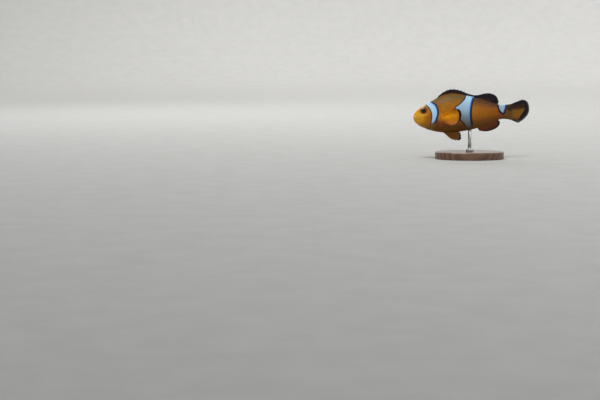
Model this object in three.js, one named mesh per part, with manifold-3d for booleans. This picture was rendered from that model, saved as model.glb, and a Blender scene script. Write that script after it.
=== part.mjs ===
// Clownfish (Amphiprion ocellaris), an adult at life size, swimming level above a low display stand.
//
// Millimetres, +Z up. The snout points towards -Y and the left flank faces +X. The origin is the
// middle of the stand's underside. The fish itself is built in a frame of its own, measured from
// the tip of the snout: "behind" runs along the spine, "side" towards the left flank and "up" upwards.

import * as THREE from 'three';
import { mergeVertices } from 'three/addons/utils/BufferGeometryUtils.js';
import Module from 'manifold-3d';

const wasm = await Module();
wasm.setup();

// ---------------------------------------------------------------- driving dimensions

const SNOUT_HEIGHT = 27.8;
const SNOUT_Y = -38;
const BODY_LENGTH = 66;
const SEAM = 0.3;
const ROOT_SINK = 0.7;

// Outlines of the body: [distance behind the snout, value]. The middle is where it is widest,
// and starts along the mouth.
const BACK = [[0, 0.6], [1.3, 3.4], [3.3, 5.6], [8.7, 8.8], [15.3, 12.8], [24.7, 15.5],
  [35.3, 14.5], [47.3, 11.1], [56.5, 8.7], [61, 8.3], [66, 8.7]];
const BELLY = [[0, 0.6], [1.7, -3.8], [4.2, -5.8], [10, -8.3], [21.3, -10.3],
  [36.7, -8.8], [47.3, -6.0], [55.3, -2.8], [60.7, -1.4], [66, -2.1]];
const MIDDLE = [[0, 0.6], [3.3, -0.1], [7, 0.3], [12, 1.2], [20, 2.4], [30, 2.9], [45, 2.8],
  [56, 3.0], [66, 3.3]];
const HALF_WIDTH = [[0, 0], [1, 2.1], [3, 3.5], [6, 4.6], [12, 5.9], [20, 6.3],
  [30, 5.8], [42, 4.3], [53, 2.7], [60, 1.7], [66, 0.62]];
const UPPER_FLANK = 1.06;
const LOWER_FLANK = 0.9;

// The tail swings gently to the fish's right.
const SWING_START = 36;
const SWING_PER_MM = 0.0116;

const BODY_RINGS = 38;
const BODY_SIDES = 26;
const RING_CROWDING = 1.55;

// Seams between the named parts of the body, in the side view: [behind, up].
const GILL_OPENING = [[12.6, 16], [14.2, 10], [16.9, 4.6], [17.4, -0.4], [15.6, -4.8],
  [11.4, -8.3], [9.6, -13]];
const CHEEK_EDGE = [[11.2, 7.6], [12.3, 3.2], [12.4, -1.2], [11.2, -4.4], [8.8, -6.9]];
const GILL_COVER_DEPTH = 2.6;
const GILL_COVER_REAR = 20;
const GILL_STEPS = 14;
const CHEEK_STEPS = 10;
const TAIL_SEAM = 56.6;

const MOUTH_CORNER = [3.3, -0.1];
const JAW_HINGE = [5.8, -3.2];
const JAW_REAR = [6.8, -10];
const LIP_RADIUS = 0.42;
const LIP_RISE = 0.6;
const LIP_INSET = 0.12;
const LIP_STEPS = 12;
const LIP_CURVE_SEGMENTS = 4;
const WIDTH_HALVINGS = 24;

const EYE_BEHIND = 6.7;
const EYE_UP = 4.8;
const EYE_RADIUS = 2.12;
const EYE_HALF_DEPTH = 1.45;
const EYE_BULGE = 0.42;
const EYE_FORWARD_TURN = 0.2;
const EYE_UPWARD_TURN = 0.2;
const EYE_RIM_RADIUS = 0.3;
const EYE_RIM_SINK = 0.35;
const EYE_SEGMENTS = [16, 9];
const EYE_RIM_SEGMENTS = [6, 18];

const FIN_ROOT_THICKNESS = 1.0;
const FIN_EDGE_THICKNESS = 0.55;

// Fins: where the first and last ray stand, and the outline of the ray tips, front to rear.
const DORSAL_BASE = [15.4, 56.6];
const DORSAL_TIPS = [[17.0, 14.6], [22.4, 18.2], [27.4, 19.0], [32.0, 18.0], [36.0, 16.2],
  [39.6, 15.1], [43.4, 14.9], [48.3, 16.1], [52.8, 15.8], [56.4, 13.6], [57.6, 10.0]];
const DORSAL_SPLIT = 0.56;
const DORSAL_SPLIT_GAP = 0.013;
const DORSAL_SPINES = 11;
const SCALLOP = 0.1;
const ANAL_BASE = [43, 57];
const ANAL_TIPS = [[44.2, -8.8], [48.6, -9.4], [53.0, -8.7], [56.8, -6.9], [58.5, -4.8],
  [58.4, -2.8]];
const TAIL_FIN_ROOT_INSET = 0.1;
const TAIL_FIN_TIPS = [[74.6, 11.4], [77.7, 11.1], [80.4, 9.4], [81.6, 6.6], [81.4, 3.4],
  [79.5, 0.4], [76.3, -2.3], [72.3, -4.2]];
const PECTORAL_ROOT = [[17.7, 1.9], [18.8, -2.8]];
const PECTORAL_TIPS = [[25.8, 6.1], [29.0, 6.1], [31.0, 4.2], [31.3, 1.3], [30.0, -2.0],
  [27.4, -4.3], [24.6, -4.7]];
const PECTORAL_SPREAD = 7.2;
const PECTORAL_CURL = 2.0;
const PELVIC_ROOT = [[19.6, -9.3], [23.4, -9.6]];
const PELVIC_TIPS = [[25.5, -14.4], [28.6, -15.0], [31.4, -14.7], [31.4, -12.4], [30.6, -10.1]];
const PELVIC_SIDE = 2.1;
const PELVIC_SPREAD = 2.6;

// Facets of each fin: along its base, and from its base to its edge.
const SPINY_DORSAL_GRID = [44, 2];
const SOFT_DORSAL_GRID = [22, 2];
const ANAL_GRID = [18, 2];
const TAIL_FIN_GRID = [26, 3];
const PECTORAL_GRID = [18, 4];
const PELVIC_GRID = [12, 2];

const BASE_LENGTH = 46;
const BASE_WIDTH = 31;
const BASE_HEIGHT = 5;
const BASE_EDGE = 1.1;
const BASE_EDGE_STEPS = 4;
const BASE_SIDES = 40;
const BASE_CHAMFER = 0.5;
const ROD_RADIUS = 1.2;
const ROD_SIDES = 20;
const ROD_IN_BODY = 4;
const ROD_IN_BASE = 3.4;
const COLLAR_RADIUS = 2.6;
const COLLAR_HEIGHT = 1.6;
const COLLAR_EDGE = 0.6;
const COLLAR_SIDES = 24;
const HOLE_OVERRUN = 1;

// A box in the fish's own coordinates that reaches well past it on every side.
const FAR_FRONT = -5;
const FAR_BEHIND = 90;
const FAR_UP = 40;
const FAR_DOWN = -30;
const FAR_SIDE = 30;

const WELD_DISTANCE = 1e-5;

// ---------------------------------------------------------------- curves and the body's shape

/** Natural cubic spline through [position, value] knots, as a function of position. */
function splineThrough(knots) {
  const last = knots.length - 1;
  const gaps = knots.slice(1).map(([position], i) => position - knots[i][0]);
  const slopes = knots.slice(1).map(([, value], i) => (value - knots[i][1]) / gaps[i]);
  const bend = new Array(last + 1).fill(0);
  const carried = new Array(last + 1).fill(0);
  for (let i = 1; i < last; i += 1) {
    const pivot = 2 * (gaps[i - 1] + gaps[i]) - gaps[i - 1] * carried[i - 1];
    carried[i] = gaps[i] / pivot;
    bend[i] = (6 * (slopes[i] - slopes[i - 1]) - gaps[i - 1] * bend[i - 1]) / pivot;
  }
  for (let i = last - 1; i > 0; i -= 1) {
    bend[i] -= carried[i] * bend[i + 1];
  }
  return (position) => {
    let i = 0;
    while (i < last - 1 && position > knots[i + 1][0]) {
      i += 1;
    }
    const step = position - knots[i][0];
    const slope = slopes[i] - (gaps[i] * (2 * bend[i] + bend[i + 1])) / 6;
    const twist = (bend[i + 1] - bend[i]) / (6 * gaps[i]);
    return knots[i][1] + step * (slope + step * (bend[i] / 2 + step * twist));
  };
}

/** A body outline: splined in the square root of the distance, which rounds the snout off. */
function bodyOutline(knots) {
  const curve = splineThrough(knots.map(([behind, value]) => [Math.sqrt(behind), value]));
  return (behind) => curve(Math.sqrt(Math.max(behind, 0)));
}

const back = bodyOutline(BACK);
const belly = bodyOutline(BELLY);
const middle = bodyOutline(MIDDLE);
const halfWidth = bodyOutline(HALF_WIDTH);

/** From the fish's own coordinates along its curved spine to straight ones. */
function place(behind, side, up) {
  const turn = SWING_PER_MM * Math.max(behind - SWING_START, 0);
  const straight = Math.min(behind, SWING_START);
  const spineX = -(1 - Math.cos(turn)) / SWING_PER_MM;
  const spineY = straight + Math.sin(turn) / SWING_PER_MM;
  return new THREE.Vector3(spineX + side * Math.cos(turn), spineY + side * Math.sin(turn), up);
}

/** Half the body's width at a height, which is the full half width only in the middle. */
function flank(behind, up) {
  const above = up > middle(behind);
  const reach = above ? back(behind) - middle(behind) : middle(behind) - belly(behind);
  const rise = Math.min(Math.abs(up - middle(behind)) / Math.max(reach, 1e-6), 1);
  return halfWidth(behind) * Math.sqrt(1 - rise * rise) ** (above ? UPPER_FLANK : LOWER_FLANK);
}

/** The body as a closed loft, grown outwards by the given amount. */
function bodyLoft(grow) {
  const points = [place(-grow, 0, middle(0))];
  const faces = [];
  for (let ring = 1; ring <= BODY_RINGS; ring += 1) {
    const behind = BODY_LENGTH * (ring / BODY_RINGS) ** RING_CROWDING;
    const pushed = behind + grow * ((2 * ring) / BODY_RINGS - 1);
    for (let i = 0; i < BODY_SIDES; i += 1) {
      const angle = (2 * Math.PI * i) / BODY_SIDES;
      const edge = Math.cos(angle) > 0 ? back(behind) + grow : belly(behind) - grow;
      const squareness = Math.cos(angle) > 0 ? UPPER_FLANK : LOWER_FLANK;
      const up = THREE.MathUtils.lerp(middle(behind), edge, Math.abs(Math.cos(angle)));
      const width = (halfWidth(behind) + grow) * Math.abs(Math.sin(angle)) ** squareness;
      const onRidge = 2 * i === BODY_SIDES || i === 0;
      points.push(place(pushed, onRidge ? 0 : Math.sign(Math.sin(angle)) * width, up));
    }
  }
  const index = (ring, i) => 1 + (ring - 1) * BODY_SIDES + (i % BODY_SIDES);
  const tailEnd = points.length;
  points.push(place(BODY_LENGTH + grow, 0, middle(BODY_LENGTH)));
  for (let i = 0; i < BODY_SIDES; i += 1) {
    faces.push(0, index(1, i + 1), index(1, i));
    for (let ring = 1; ring < BODY_RINGS; ring += 1) {
      faces.push(index(ring, i), index(ring, i + 1), index(ring + 1, i));
      faces.push(index(ring, i + 1), index(ring + 1, i + 1), index(ring + 1, i));
    }
    faces.push(tailEnd, index(BODY_RINGS, i), index(BODY_RINGS, i + 1));
  }
  return geometryFrom(points, faces);
}

// ---------------------------------------------------------------- closed geometry and booleans

function geometryFrom(points, faces) {
  const geometry = new THREE.BufferGeometry().setFromPoints(points);
  geometry.setIndex(faces);
  geometry.computeVertexNormals();
  return geometry;
}

function toSolid(geometry) {
  const bare = geometry.clone();
  bare.deleteAttribute('normal');
  bare.deleteAttribute('uv');
  const merged = mergeVertices(bare, WELD_DISTANCE);
  return new wasm.Manifold(new wasm.Mesh({
    numProp: 3,
    vertProperties: new Float32Array(merged.attributes.position.array),
    triVerts: new Uint32Array(merged.index.array),
  }));
}

function toGeometry(solid) {
  const mesh = solid.getMesh();
  const geometry = new THREE.BufferGeometry();
  geometry.setAttribute('position', new THREE.BufferAttribute(mesh.vertProperties, 3));
  geometry.setIndex(new THREE.BufferAttribute(mesh.triVerts, 1));
  geometry.computeVertexNormals();
  return geometry;
}

/** A side-view outline of [behind, up] points, extruded across the fish between two X values. */
function acrossFish(outline, fromX = -FAR_SIDE, toX = FAR_SIDE) {
  const shape = new THREE.Shape(outline.map(([behind, up]) => new THREE.Vector2(behind, up)));
  const geometry = new THREE.ExtrudeGeometry(shape, { depth: toX - fromX, bevelEnabled: false });
  const axes = [new THREE.Vector3(0, 1, 0), new THREE.Vector3(0, 0, 1), new THREE.Vector3(1, 0, 0)];
  geometry.applyMatrix4(new THREE.Matrix4().makeBasis(...axes));
  geometry.translate(fromX, 0, 0);
  return toSolid(geometry);
}

/** Everything of the fish between two distances behind the snout. */
function sideBox(front, rear) {
  return acrossFish([[front, FAR_DOWN], [rear, FAR_DOWN], [rear, FAR_UP], [front, FAR_UP]]);
}

function smoothLine(points, count) {
  const curve = new THREE.SplineCurve(points.map(([x, y]) => new THREE.Vector2(x, y)));
  return curve.getPoints(count).map((point) => [point.x, point.y]);
}

/** A fin's thickness from its root, where v is 0, to its edge, where v is 1. */
function finThickness(v) {
  return THREE.MathUtils.lerp(FIN_ROOT_THICKNESS, FIN_EDGE_THICKNESS, Math.sqrt(v));
}

/** A closed sheet around a mid surface given over u (root, first to last ray) and v (root to tip). */
function finSheet(midPoint, [rays, steps]) {
  const points = [];
  const faces = [];
  const nudge = 1e-3;
  const columns = steps + 1;
  const layer = (rays + 1) * columns;
  for (const face of [1, -1]) {
    for (let ray = 0; ray <= rays; ray += 1) {
      for (let step = 0; step <= steps; step += 1) {
        const u = ray / rays;
        const v = step / steps;
        const alongU = midPoint(u + nudge, v).sub(midPoint(u - nudge, v));
        const alongV = midPoint(u, v + nudge).sub(midPoint(u, v - nudge));
        const normal = alongU.cross(alongV).normalize();
        points.push(midPoint(u, v).addScaledVector(normal, (face * finThickness(v)) / 2));
      }
    }
  }
  const quad = (a, b, c, d) => faces.push(a, b, c, a, c, d);
  for (let ray = 0; ray < rays; ray += 1) {
    for (let step = 0; step < steps; step += 1) {
      const corner = ray * columns + step;
      quad(corner, corner + columns, corner + columns + 1, corner + 1);
      quad(layer + corner, layer + corner + 1, layer + corner + columns + 1, layer + corner + columns);
    }
    const root = ray * columns;
    const tip = root + steps;
    quad(root, layer + root, layer + root + columns, root + columns);
    quad(tip, tip + columns, layer + tip + columns, layer + tip);
  }
  for (let step = 0; step < steps; step += 1) {
    const last = rays * columns + step;
    quad(step, step + 1, layer + step + 1, layer + step);
    quad(last, layer + last, layer + last + 1, last + 1);
  }
  return toSolid(geometryFrom(points, faces));
}

// ---------------------------------------------------------------- head

/** How far behind the snout the body, at a rise above the mouth line, reaches a half width. */
function behindAtWidth(width, rise) {
  let near = 0;
  let far = MOUTH_CORNER[0];
  for (let i = 0; i < WIDTH_HALVINGS; i += 1) {
    const halfway = (near + far) / 2;
    if (flank(halfway, middle(halfway) + rise) < width) {
      near = halfway;
    } else {
      far = halfway;
    }
  }
  return far;
}

/** A rounded lip that follows the snout from one corner of the mouth to the other. */
function lip(rise) {
  const corner = flank(MOUTH_CORNER[0], MOUTH_CORNER[1] + rise) - LIP_RADIUS;
  const path = [];
  for (let i = 0; i <= LIP_STEPS; i += 1) {
    const t = (2 * i) / LIP_STEPS - 1;
    const behind = behindAtWidth(Math.abs(t) * corner, rise) + LIP_INSET;
    path.push(place(behind, t * corner, middle(behind) + rise));
  }
  const section = new THREE.Shape();
  section.absarc(0, 0, LIP_RADIUS, 0, 2 * Math.PI);
  return toSolid(new THREE.ExtrudeGeometry(section, {
    steps: LIP_STEPS,
    curveSegments: LIP_CURVE_SEGMENTS,
    extrudePath: new THREE.CatmullRomCurve3(path),
    bevelEnabled: false,
  }));
}

/** Middle of the eye and the way it looks, for side 1 (left) or -1 (right). */
function eyePose(side) {
  const outward = new THREE.Vector3(
    side * Math.cos(EYE_FORWARD_TURN) * Math.cos(EYE_UPWARD_TURN),
    -Math.sin(EYE_FORWARD_TURN),
    Math.sin(EYE_UPWARD_TURN),
  ).normalize();
  const surface = place(EYE_BEHIND, side * flank(EYE_BEHIND, EYE_UP), EYE_UP);
  const centre = surface.addScaledVector(outward, EYE_BULGE - EYE_HALF_DEPTH);
  const turn = new THREE.Quaternion().setFromUnitVectors(new THREE.Vector3(0, 0, 1), outward);
  return { centre, turn, outward };
}

function eyeball(side, grow) {
  const { centre, turn } = eyePose(side);
  const geometry = new THREE.SphereGeometry(1, ...EYE_SEGMENTS);
  geometry.rotateX(Math.PI / 2);
  geometry.scale(EYE_RADIUS + grow, EYE_RADIUS + grow, EYE_HALF_DEPTH + grow);
  geometry.applyQuaternion(turn);
  geometry.translate(centre.x, centre.y, centre.z);
  return toSolid(geometry);
}

function eyeRim(side) {
  const { centre, turn, outward } = eyePose(side);
  const geometry = new THREE.TorusGeometry(EYE_RADIUS + SEAM, EYE_RIM_RADIUS, ...EYE_RIM_SEGMENTS);
  geometry.applyQuaternion(turn);
  const seat = centre.addScaledVector(outward, EYE_HALF_DEPTH - EYE_BULGE - EYE_RIM_SINK);
  geometry.translate(seat.x, seat.y, seat.z);
  return toSolid(geometry);
}

function inFrontOfGills(shift) {
  const edge = smoothLine(GILL_OPENING, GILL_STEPS).map(([behind, up]) => [behind + shift, up]);
  const [top, low] = [edge[0][1], edge[edge.length - 1][1]];
  return acrossFish([[FAR_FRONT, top], [FAR_FRONT, low], ...edge.reverse()]);
}

function behindGills(shift) {
  const edge = smoothLine(GILL_OPENING, GILL_STEPS).map(([behind, up]) => [behind + shift, up]);
  return acrossFish([...edge, [FAR_BEHIND, FAR_DOWN], [FAR_BEHIND, FAR_UP]]);
}

function gillCoverRegion(side, grow) {
  const cheek = smoothLine(CHEEK_EDGE, CHEEK_STEPS).map(([behind, up]) => [behind - grow, up]);
  const [topBehind, topUp] = CHEEK_EDGE[0];
  const [lowBehind, lowUp] = CHEEK_EDGE[CHEEK_EDGE.length - 1];
  const outline = [[GILL_COVER_REAR, topUp + grow], [topBehind - grow, topUp + grow], ...cheek,
    [lowBehind - grow, lowUp - grow], [GILL_COVER_REAR, lowUp - grow]];
  const inner = GILL_COVER_DEPTH - grow;
  return side > 0 ? acrossFish(outline, inner) : acrossFish(outline, -FAR_SIDE, -inner);
}

function lowerJawRegion(grow) {
  const mouth = [0, 0.25, 0.5, 0.75].map((share) => {
    const behind = share * MOUTH_CORNER[0];
    return [behind, middle(behind) + grow];
  });
  return acrossFish([
    [FAR_FRONT, middle(0) + grow],
    ...mouth,
    [MOUTH_CORNER[0] + grow, MOUTH_CORNER[1] + grow],
    [JAW_HINGE[0] + grow, JAW_HINGE[1]],
    [JAW_REAR[0] + grow, JAW_REAR[1]],
    [FAR_FRONT, JAW_REAR[1]],
  ]);
}

function headParts(body) {
  const lipped = body.add(lip(LIP_RISE)).add(lip(-LIP_RISE)).add(eyeRim(1)).add(eyeRim(-1));
  const whole = lipped.intersect(inFrontOfGills(-SEAM / 2));
  const sockets = eyeball(1, SEAM).add(eyeball(-1, SEAM));
  const covers = gillCoverRegion(1, SEAM).add(gillCoverRegion(-1, SEAM));
  return {
    head: whole.subtract(sockets).subtract(covers).subtract(lowerJawRegion(SEAM / 2)),
    lower_jaw: whole.intersect(lowerJawRegion(-SEAM / 2)),
    gill_cover_left: whole.intersect(gillCoverRegion(1, 0)),
    gill_cover_right: whole.intersect(gillCoverRegion(-1, 0)),
  };
}

// ---------------------------------------------------------------- fins

/** A point along a smooth line of [behind, up] tips, u from 0 to 1. */
function tipLine(tips) {
  const behind = splineThrough(tips.map(([value], i) => [i / (tips.length - 1), value]));
  const up = splineThrough(tips.map(([, value], i) => [i / (tips.length - 1), value]));
  return (u) => [behind(u), up(u)];
}

/** Mid surface of a fin in the middle plane, with rays from a root line to a tip line. */
function medianFin(rootAt, tipAt, reach = () => 1) {
  return (u, v) => {
    const [rootBehind, rootUp] = rootAt(u);
    const [tipBehind, tipUp] = tipAt(u);
    const out = v * reach(u);
    return place(
      THREE.MathUtils.lerp(rootBehind, tipBehind, out),
      0,
      THREE.MathUtils.lerp(rootUp, tipUp, out),
    );
  };
}

const between = (from, to) => (u) => THREE.MathUtils.lerp(from, to, u);

function dorsalFins() {
  const tips = tipLine(DORSAL_TIPS);
  const baseAt = between(...DORSAL_BASE);
  const root = (u) => [baseAt(u), back(baseAt(u)) - ROOT_SINK];
  const spinesPerFin = DORSAL_SPINES / DORSAL_SPLIT;
  const scallop = (u) => 1 - SCALLOP * (1 - Math.abs(Math.cos(Math.PI * spinesPerFin * u)));
  const spiny = between(0, DORSAL_SPLIT - DORSAL_SPLIT_GAP);
  const soft = between(DORSAL_SPLIT + DORSAL_SPLIT_GAP, 1);
  const spinyMid = medianFin((u) => root(spiny(u)), (u) => tips(spiny(u)), (u) => scallop(spiny(u)));
  const softMid = medianFin((u) => root(soft(u)), (u) => tips(soft(u)));
  return {
    dorsal_fin_spiny: finSheet(spinyMid, SPINY_DORSAL_GRID),
    dorsal_fin_soft: finSheet(softMid, SOFT_DORSAL_GRID),
  };
}

function analFin() {
  const baseAt = between(...ANAL_BASE);
  const root = (u) => [baseAt(u), belly(baseAt(u)) + ROOT_SINK];
  return finSheet(medianFin(root, tipLine(ANAL_TIPS)), ANAL_GRID);
}

function tailFin() {
  const top = back(BODY_LENGTH) - TAIL_FIN_ROOT_INSET;
  const bottom = belly(BODY_LENGTH) + TAIL_FIN_ROOT_INSET;
  const root = (u) => [BODY_LENGTH + SEAM, THREE.MathUtils.lerp(top, bottom, u)];
  return finSheet(medianFin(root, tipLine(TAIL_FIN_TIPS)), TAIL_FIN_GRID);
}

/** A paired fin whose root lies on the flank and whose tips stand out to the side. */
function pairedFin(side, rootEnds, tips, sideAtRoot, spread, curl) {
  const tipAt = tipLine(tips);
  const [first, last] = rootEnds;
  return (u, v) => {
    const rootBehind = THREE.MathUtils.lerp(first[0], last[0], u);
    const rootUp = THREE.MathUtils.lerp(first[1], last[1], u);
    const [tipBehind, tipUp] = tipAt(u);
    const out = sideAtRoot(rootBehind, rootUp) + spread * v - curl * v * v;
    return place(
      THREE.MathUtils.lerp(rootBehind, tipBehind, v),
      side * out,
      THREE.MathUtils.lerp(rootUp, tipUp, v),
    );
  };
}

function pectoralFin(side) {
  const atFlank = (behind, up) => flank(behind, up) - ROOT_SINK;
  const mid = pairedFin(side, PECTORAL_ROOT, PECTORAL_TIPS, atFlank, PECTORAL_SPREAD, PECTORAL_CURL);
  const facing = side > 0 ? mid : (u, v) => mid(1 - u, v);
  return finSheet(facing, PECTORAL_GRID);
}

function pelvicFin(side) {
  const mid = pairedFin(side, PELVIC_ROOT, PELVIC_TIPS, () => PELVIC_SIDE, PELVIC_SPREAD, 0);
  const facing = side > 0 ? mid : (u, v) => mid(1 - u, v);
  return finSheet(facing, PELVIC_GRID);
}

// ---------------------------------------------------------------- stand

/** A solid of revolution about +Z. Its outline of [radius, height] starts and ends on the axis. */
function turned(outline, sides) {
  const geometry = new THREE.LatheGeometry(outline.map(([r, z]) => new THREE.Vector2(r, z)), sides);
  geometry.rotateX(Math.PI / 2);
  return geometry;
}

function standBase() {
  const radius = BASE_LENGTH / 2;
  const outline = [[0, 0], [radius - BASE_CHAMFER, 0], [radius, BASE_CHAMFER]];
  for (let i = 0; i <= BASE_EDGE_STEPS; i += 1) {
    const angle = (Math.PI / 2) * (i / BASE_EDGE_STEPS);
    outline.push([
      radius - BASE_EDGE * (1 - Math.cos(angle)),
      BASE_HEIGHT - BASE_EDGE * (1 - Math.sin(angle)),
    ]);
  }
  outline.push([0, BASE_HEIGHT]);
  const plate = turned(outline, BASE_SIDES);
  plate.scale(BASE_WIDTH / BASE_LENGTH, 1, 1);
  return toSolid(plate).subtract(rod(BASE_HEIGHT - ROD_IN_BASE - SEAM, BASE_HEIGHT + HOLE_OVERRUN, SEAM));
}

function rod(fromZ, toZ, grow) {
  const radius = ROD_RADIUS + grow;
  return toSolid(turned([[0, fromZ], [radius, fromZ], [radius, toZ], [0, toZ]], ROD_SIDES));
}

function standCollar() {
  const low = BASE_HEIGHT + SEAM;
  const high = low + COLLAR_HEIGHT;
  const outline = [[0, low], [COLLAR_RADIUS, low], [COLLAR_RADIUS, high - COLLAR_EDGE],
    [COLLAR_RADIUS - COLLAR_EDGE, high], [0, high]];
  const ring = turned(outline, COLLAR_SIDES);
  return toSolid(ring).subtract(rod(low - HOLE_OVERRUN, high + HOLE_OVERRUN, SEAM));
}

// ---------------------------------------------------------------- the whole model

function material(colour, roughness, metalness = 0) {
  return new THREE.MeshStandardMaterial({ color: colour, roughness, metalness });
}

const HEAD_SKIN = material(0xe0a030, 0.45);
const BODY_SKIN = material(0xd9822b, 0.45);
const FIN_SKIN = material(0xd8801f, 0.5);
const EYE_GLASS = material(0x30221a, 0.15);
const DARK_WOOD = material(0x4a3122, 0.4);
const STEEL = material(0xb9bbbd, 0.3, 1);

function addNode(group, name, solid, look) {
  const mesh = new THREE.Mesh(toGeometry(solid), look);
  mesh.name = name;
  group.add(mesh);
}

const model = new THREE.Group();
const fish = new THREE.Group();
fish.position.set(0, SNOUT_Y, SNOUT_HEIGHT);
model.add(fish);

const body = toSolid(bodyLoft(0));
const clearance = toSolid(bodyLoft(SEAM));
const rodTop = SNOUT_HEIGHT + belly(-SNOUT_Y) + ROD_IN_BODY;
const rodHole = rod(0, rodTop + SEAM, SEAM).translate([0, -SNOUT_Y, -SNOUT_HEIGHT]);

for (const [name, solid] of Object.entries(headParts(body))) {
  addNode(fish, name, solid, HEAD_SKIN);
}
const behindHead = body.intersect(behindGills(SEAM / 2));
const trunkRegion = sideBox(FAR_FRONT, TAIL_SEAM - SEAM / 2);
const tailRegion = sideBox(TAIL_SEAM + SEAM / 2, FAR_BEHIND);
addNode(fish, 'trunk', behindHead.intersect(trunkRegion).subtract(rodHole), BODY_SKIN);
addNode(fish, 'tail_base', behindHead.intersect(tailRegion), BODY_SKIN);

for (const [name, side] of [['left', 1], ['right', -1]]) {
  addNode(fish, `eye_${name}`, eyeball(side, 0), EYE_GLASS);
  addNode(fish, `pectoral_fin_${name}`, pectoralFin(side).subtract(clearance), FIN_SKIN);
  addNode(fish, `pelvic_fin_${name}`, pelvicFin(side).subtract(clearance), FIN_SKIN);
}
for (const [name, solid] of Object.entries(dorsalFins())) {
  addNode(fish, name, solid.subtract(clearance), FIN_SKIN);
}
addNode(fish, 'anal_fin', analFin().subtract(clearance), FIN_SKIN);
addNode(fish, 'tail_fin', tailFin(), FIN_SKIN);

addNode(model, 'stand_base', standBase(), DARK_WOOD);
addNode(model, 'stand_rod', rod(BASE_HEIGHT - ROD_IN_BASE, rodTop, 0), STEEL);
addNode(model, 'stand_collar', standCollar(), STEEL);

export default model;
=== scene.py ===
import math

import bpy
import numpy as np
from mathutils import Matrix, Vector


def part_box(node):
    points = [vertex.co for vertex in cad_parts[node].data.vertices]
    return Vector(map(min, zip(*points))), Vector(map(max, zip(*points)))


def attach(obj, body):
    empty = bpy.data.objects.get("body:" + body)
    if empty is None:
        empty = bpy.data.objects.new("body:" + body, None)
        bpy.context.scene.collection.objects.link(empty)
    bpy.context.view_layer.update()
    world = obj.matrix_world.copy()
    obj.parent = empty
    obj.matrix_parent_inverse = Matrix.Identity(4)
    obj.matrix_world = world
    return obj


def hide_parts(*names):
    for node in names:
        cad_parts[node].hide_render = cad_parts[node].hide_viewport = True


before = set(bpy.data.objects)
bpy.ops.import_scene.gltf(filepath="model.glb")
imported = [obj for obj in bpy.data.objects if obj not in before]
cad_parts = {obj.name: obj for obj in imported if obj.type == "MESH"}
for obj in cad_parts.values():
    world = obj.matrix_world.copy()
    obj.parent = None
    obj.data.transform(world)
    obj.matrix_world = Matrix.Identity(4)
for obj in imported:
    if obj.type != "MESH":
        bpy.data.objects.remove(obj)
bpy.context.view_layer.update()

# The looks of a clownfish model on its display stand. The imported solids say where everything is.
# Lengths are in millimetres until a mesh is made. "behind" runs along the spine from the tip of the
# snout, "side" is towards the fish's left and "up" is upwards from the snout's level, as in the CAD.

MM = 0.001
SEED = 7
FAR = 99.0

# ---- the body's shape, as in the CAD

SNOUT_HEIGHT = 27.8
SNOUT_Y = -38.0
BODY_LENGTH = 66.0
BACK = [(0, 0.6), (1.3, 3.4), (3.3, 5.6), (8.7, 8.8), (15.3, 12.8), (24.7, 15.5),
        (35.3, 14.5), (47.3, 11.1), (56.5, 8.7), (61, 8.3), (66, 8.7)]
BELLY = [(0, 0.6), (1.7, -3.8), (4.2, -5.8), (10, -8.3), (21.3, -10.3),
         (36.7, -8.8), (47.3, -6.0), (55.3, -2.8), (60.7, -1.4), (66, -2.1)]
MIDDLE = [(0, 0.6), (3.3, -0.1), (7, 0.3), (12, 1.2), (20, 2.4), (30, 2.9), (45, 2.8),
          (56, 3.0), (66, 3.3)]
HALF_WIDTH = [(0, 0), (1, 2.1), (3, 3.5), (6, 4.6), (12, 5.9), (20, 6.3),
              (30, 5.8), (42, 4.3), (53, 2.7), (60, 1.7), (66, 0.62)]
UPPER_FLANK = 1.06
LOWER_FLANK = 0.9
SWING_START = 36.0
SWING_PER_MM = 0.0116
COAT = 0.2
ROOT_SINK = 0.7

GILL_OPENING = [(-13, 9.6), (-8.3, 11.4), (-4.8, 15.6), (-0.4, 17.4), (4.6, 16.9), (10, 14.2),
                (16, 12.6)]
CHEEK_EDGE = [(-9, 7.0), (-6.9, 8.8), (-4.4, 11.2), (-1.2, 12.4), (3.2, 12.3), (7.6, 11.2), (11, 9.8)]

EYE_BEHIND = 6.7
EYE_UP = 4.8
EYE_RADIUS = 2.12
EYE_HALF_DEPTH = 1.45
EYE_BULGE = 0.42
EYE_FORWARD_TURN = 0.2
EYE_UPWARD_TURN = 0.2
COLLAR_HEIGHT = 0.66
COLLAR_LOWEST, COLLAR_HIGHEST = -0.62, 0.5
COLLAR_REACH = 4.0
COLLAR_FULL = 2.3
NOSTRIL = (3.8, 3.9)
MOUTH_LENGTH = 2.5
MOUTH_DROOP = 0.4
SKIN_END = 68.0
PEDUNCLE_TAPER = 0.3
PEDUNCLE_ROUNDING = 0.035


def spline(knots):
    """A natural cubic spline through (position, value) knots, as a function of position."""
    x, y = np.array(knots, float).T
    gap = np.diff(x)
    slope = np.diff(y) / gap
    last = len(x) - 1
    system = np.eye(last + 1)
    right = np.zeros(last + 1)
    for i in range(1, last):
        system[i, i - 1:i + 2] = gap[i - 1], 2 * (gap[i - 1] + gap[i]), gap[i]
        right[i] = 6 * (slope[i] - slope[i - 1])
    bend = np.linalg.solve(system, right)

    def value(position):
        position = np.asarray(position, float)
        i = np.clip(np.searchsorted(x, position) - 1, 0, last - 1)
        step = position - x[i]
        start = slope[i] - gap[i] * (2 * bend[i] + bend[i + 1]) / 6
        twist = (bend[i + 1] - bend[i]) / (6 * gap[i])
        return y[i] + step * (start + step * (bend[i] / 2 + step * twist))

    return value


def body_outline(knots):
    """An outline splined in the square root of the distance, which rounds the snout off."""
    curve = spline([(math.sqrt(behind), value) for behind, value in knots])
    return lambda behind: curve(np.sqrt(np.maximum(behind, 0)))


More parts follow.
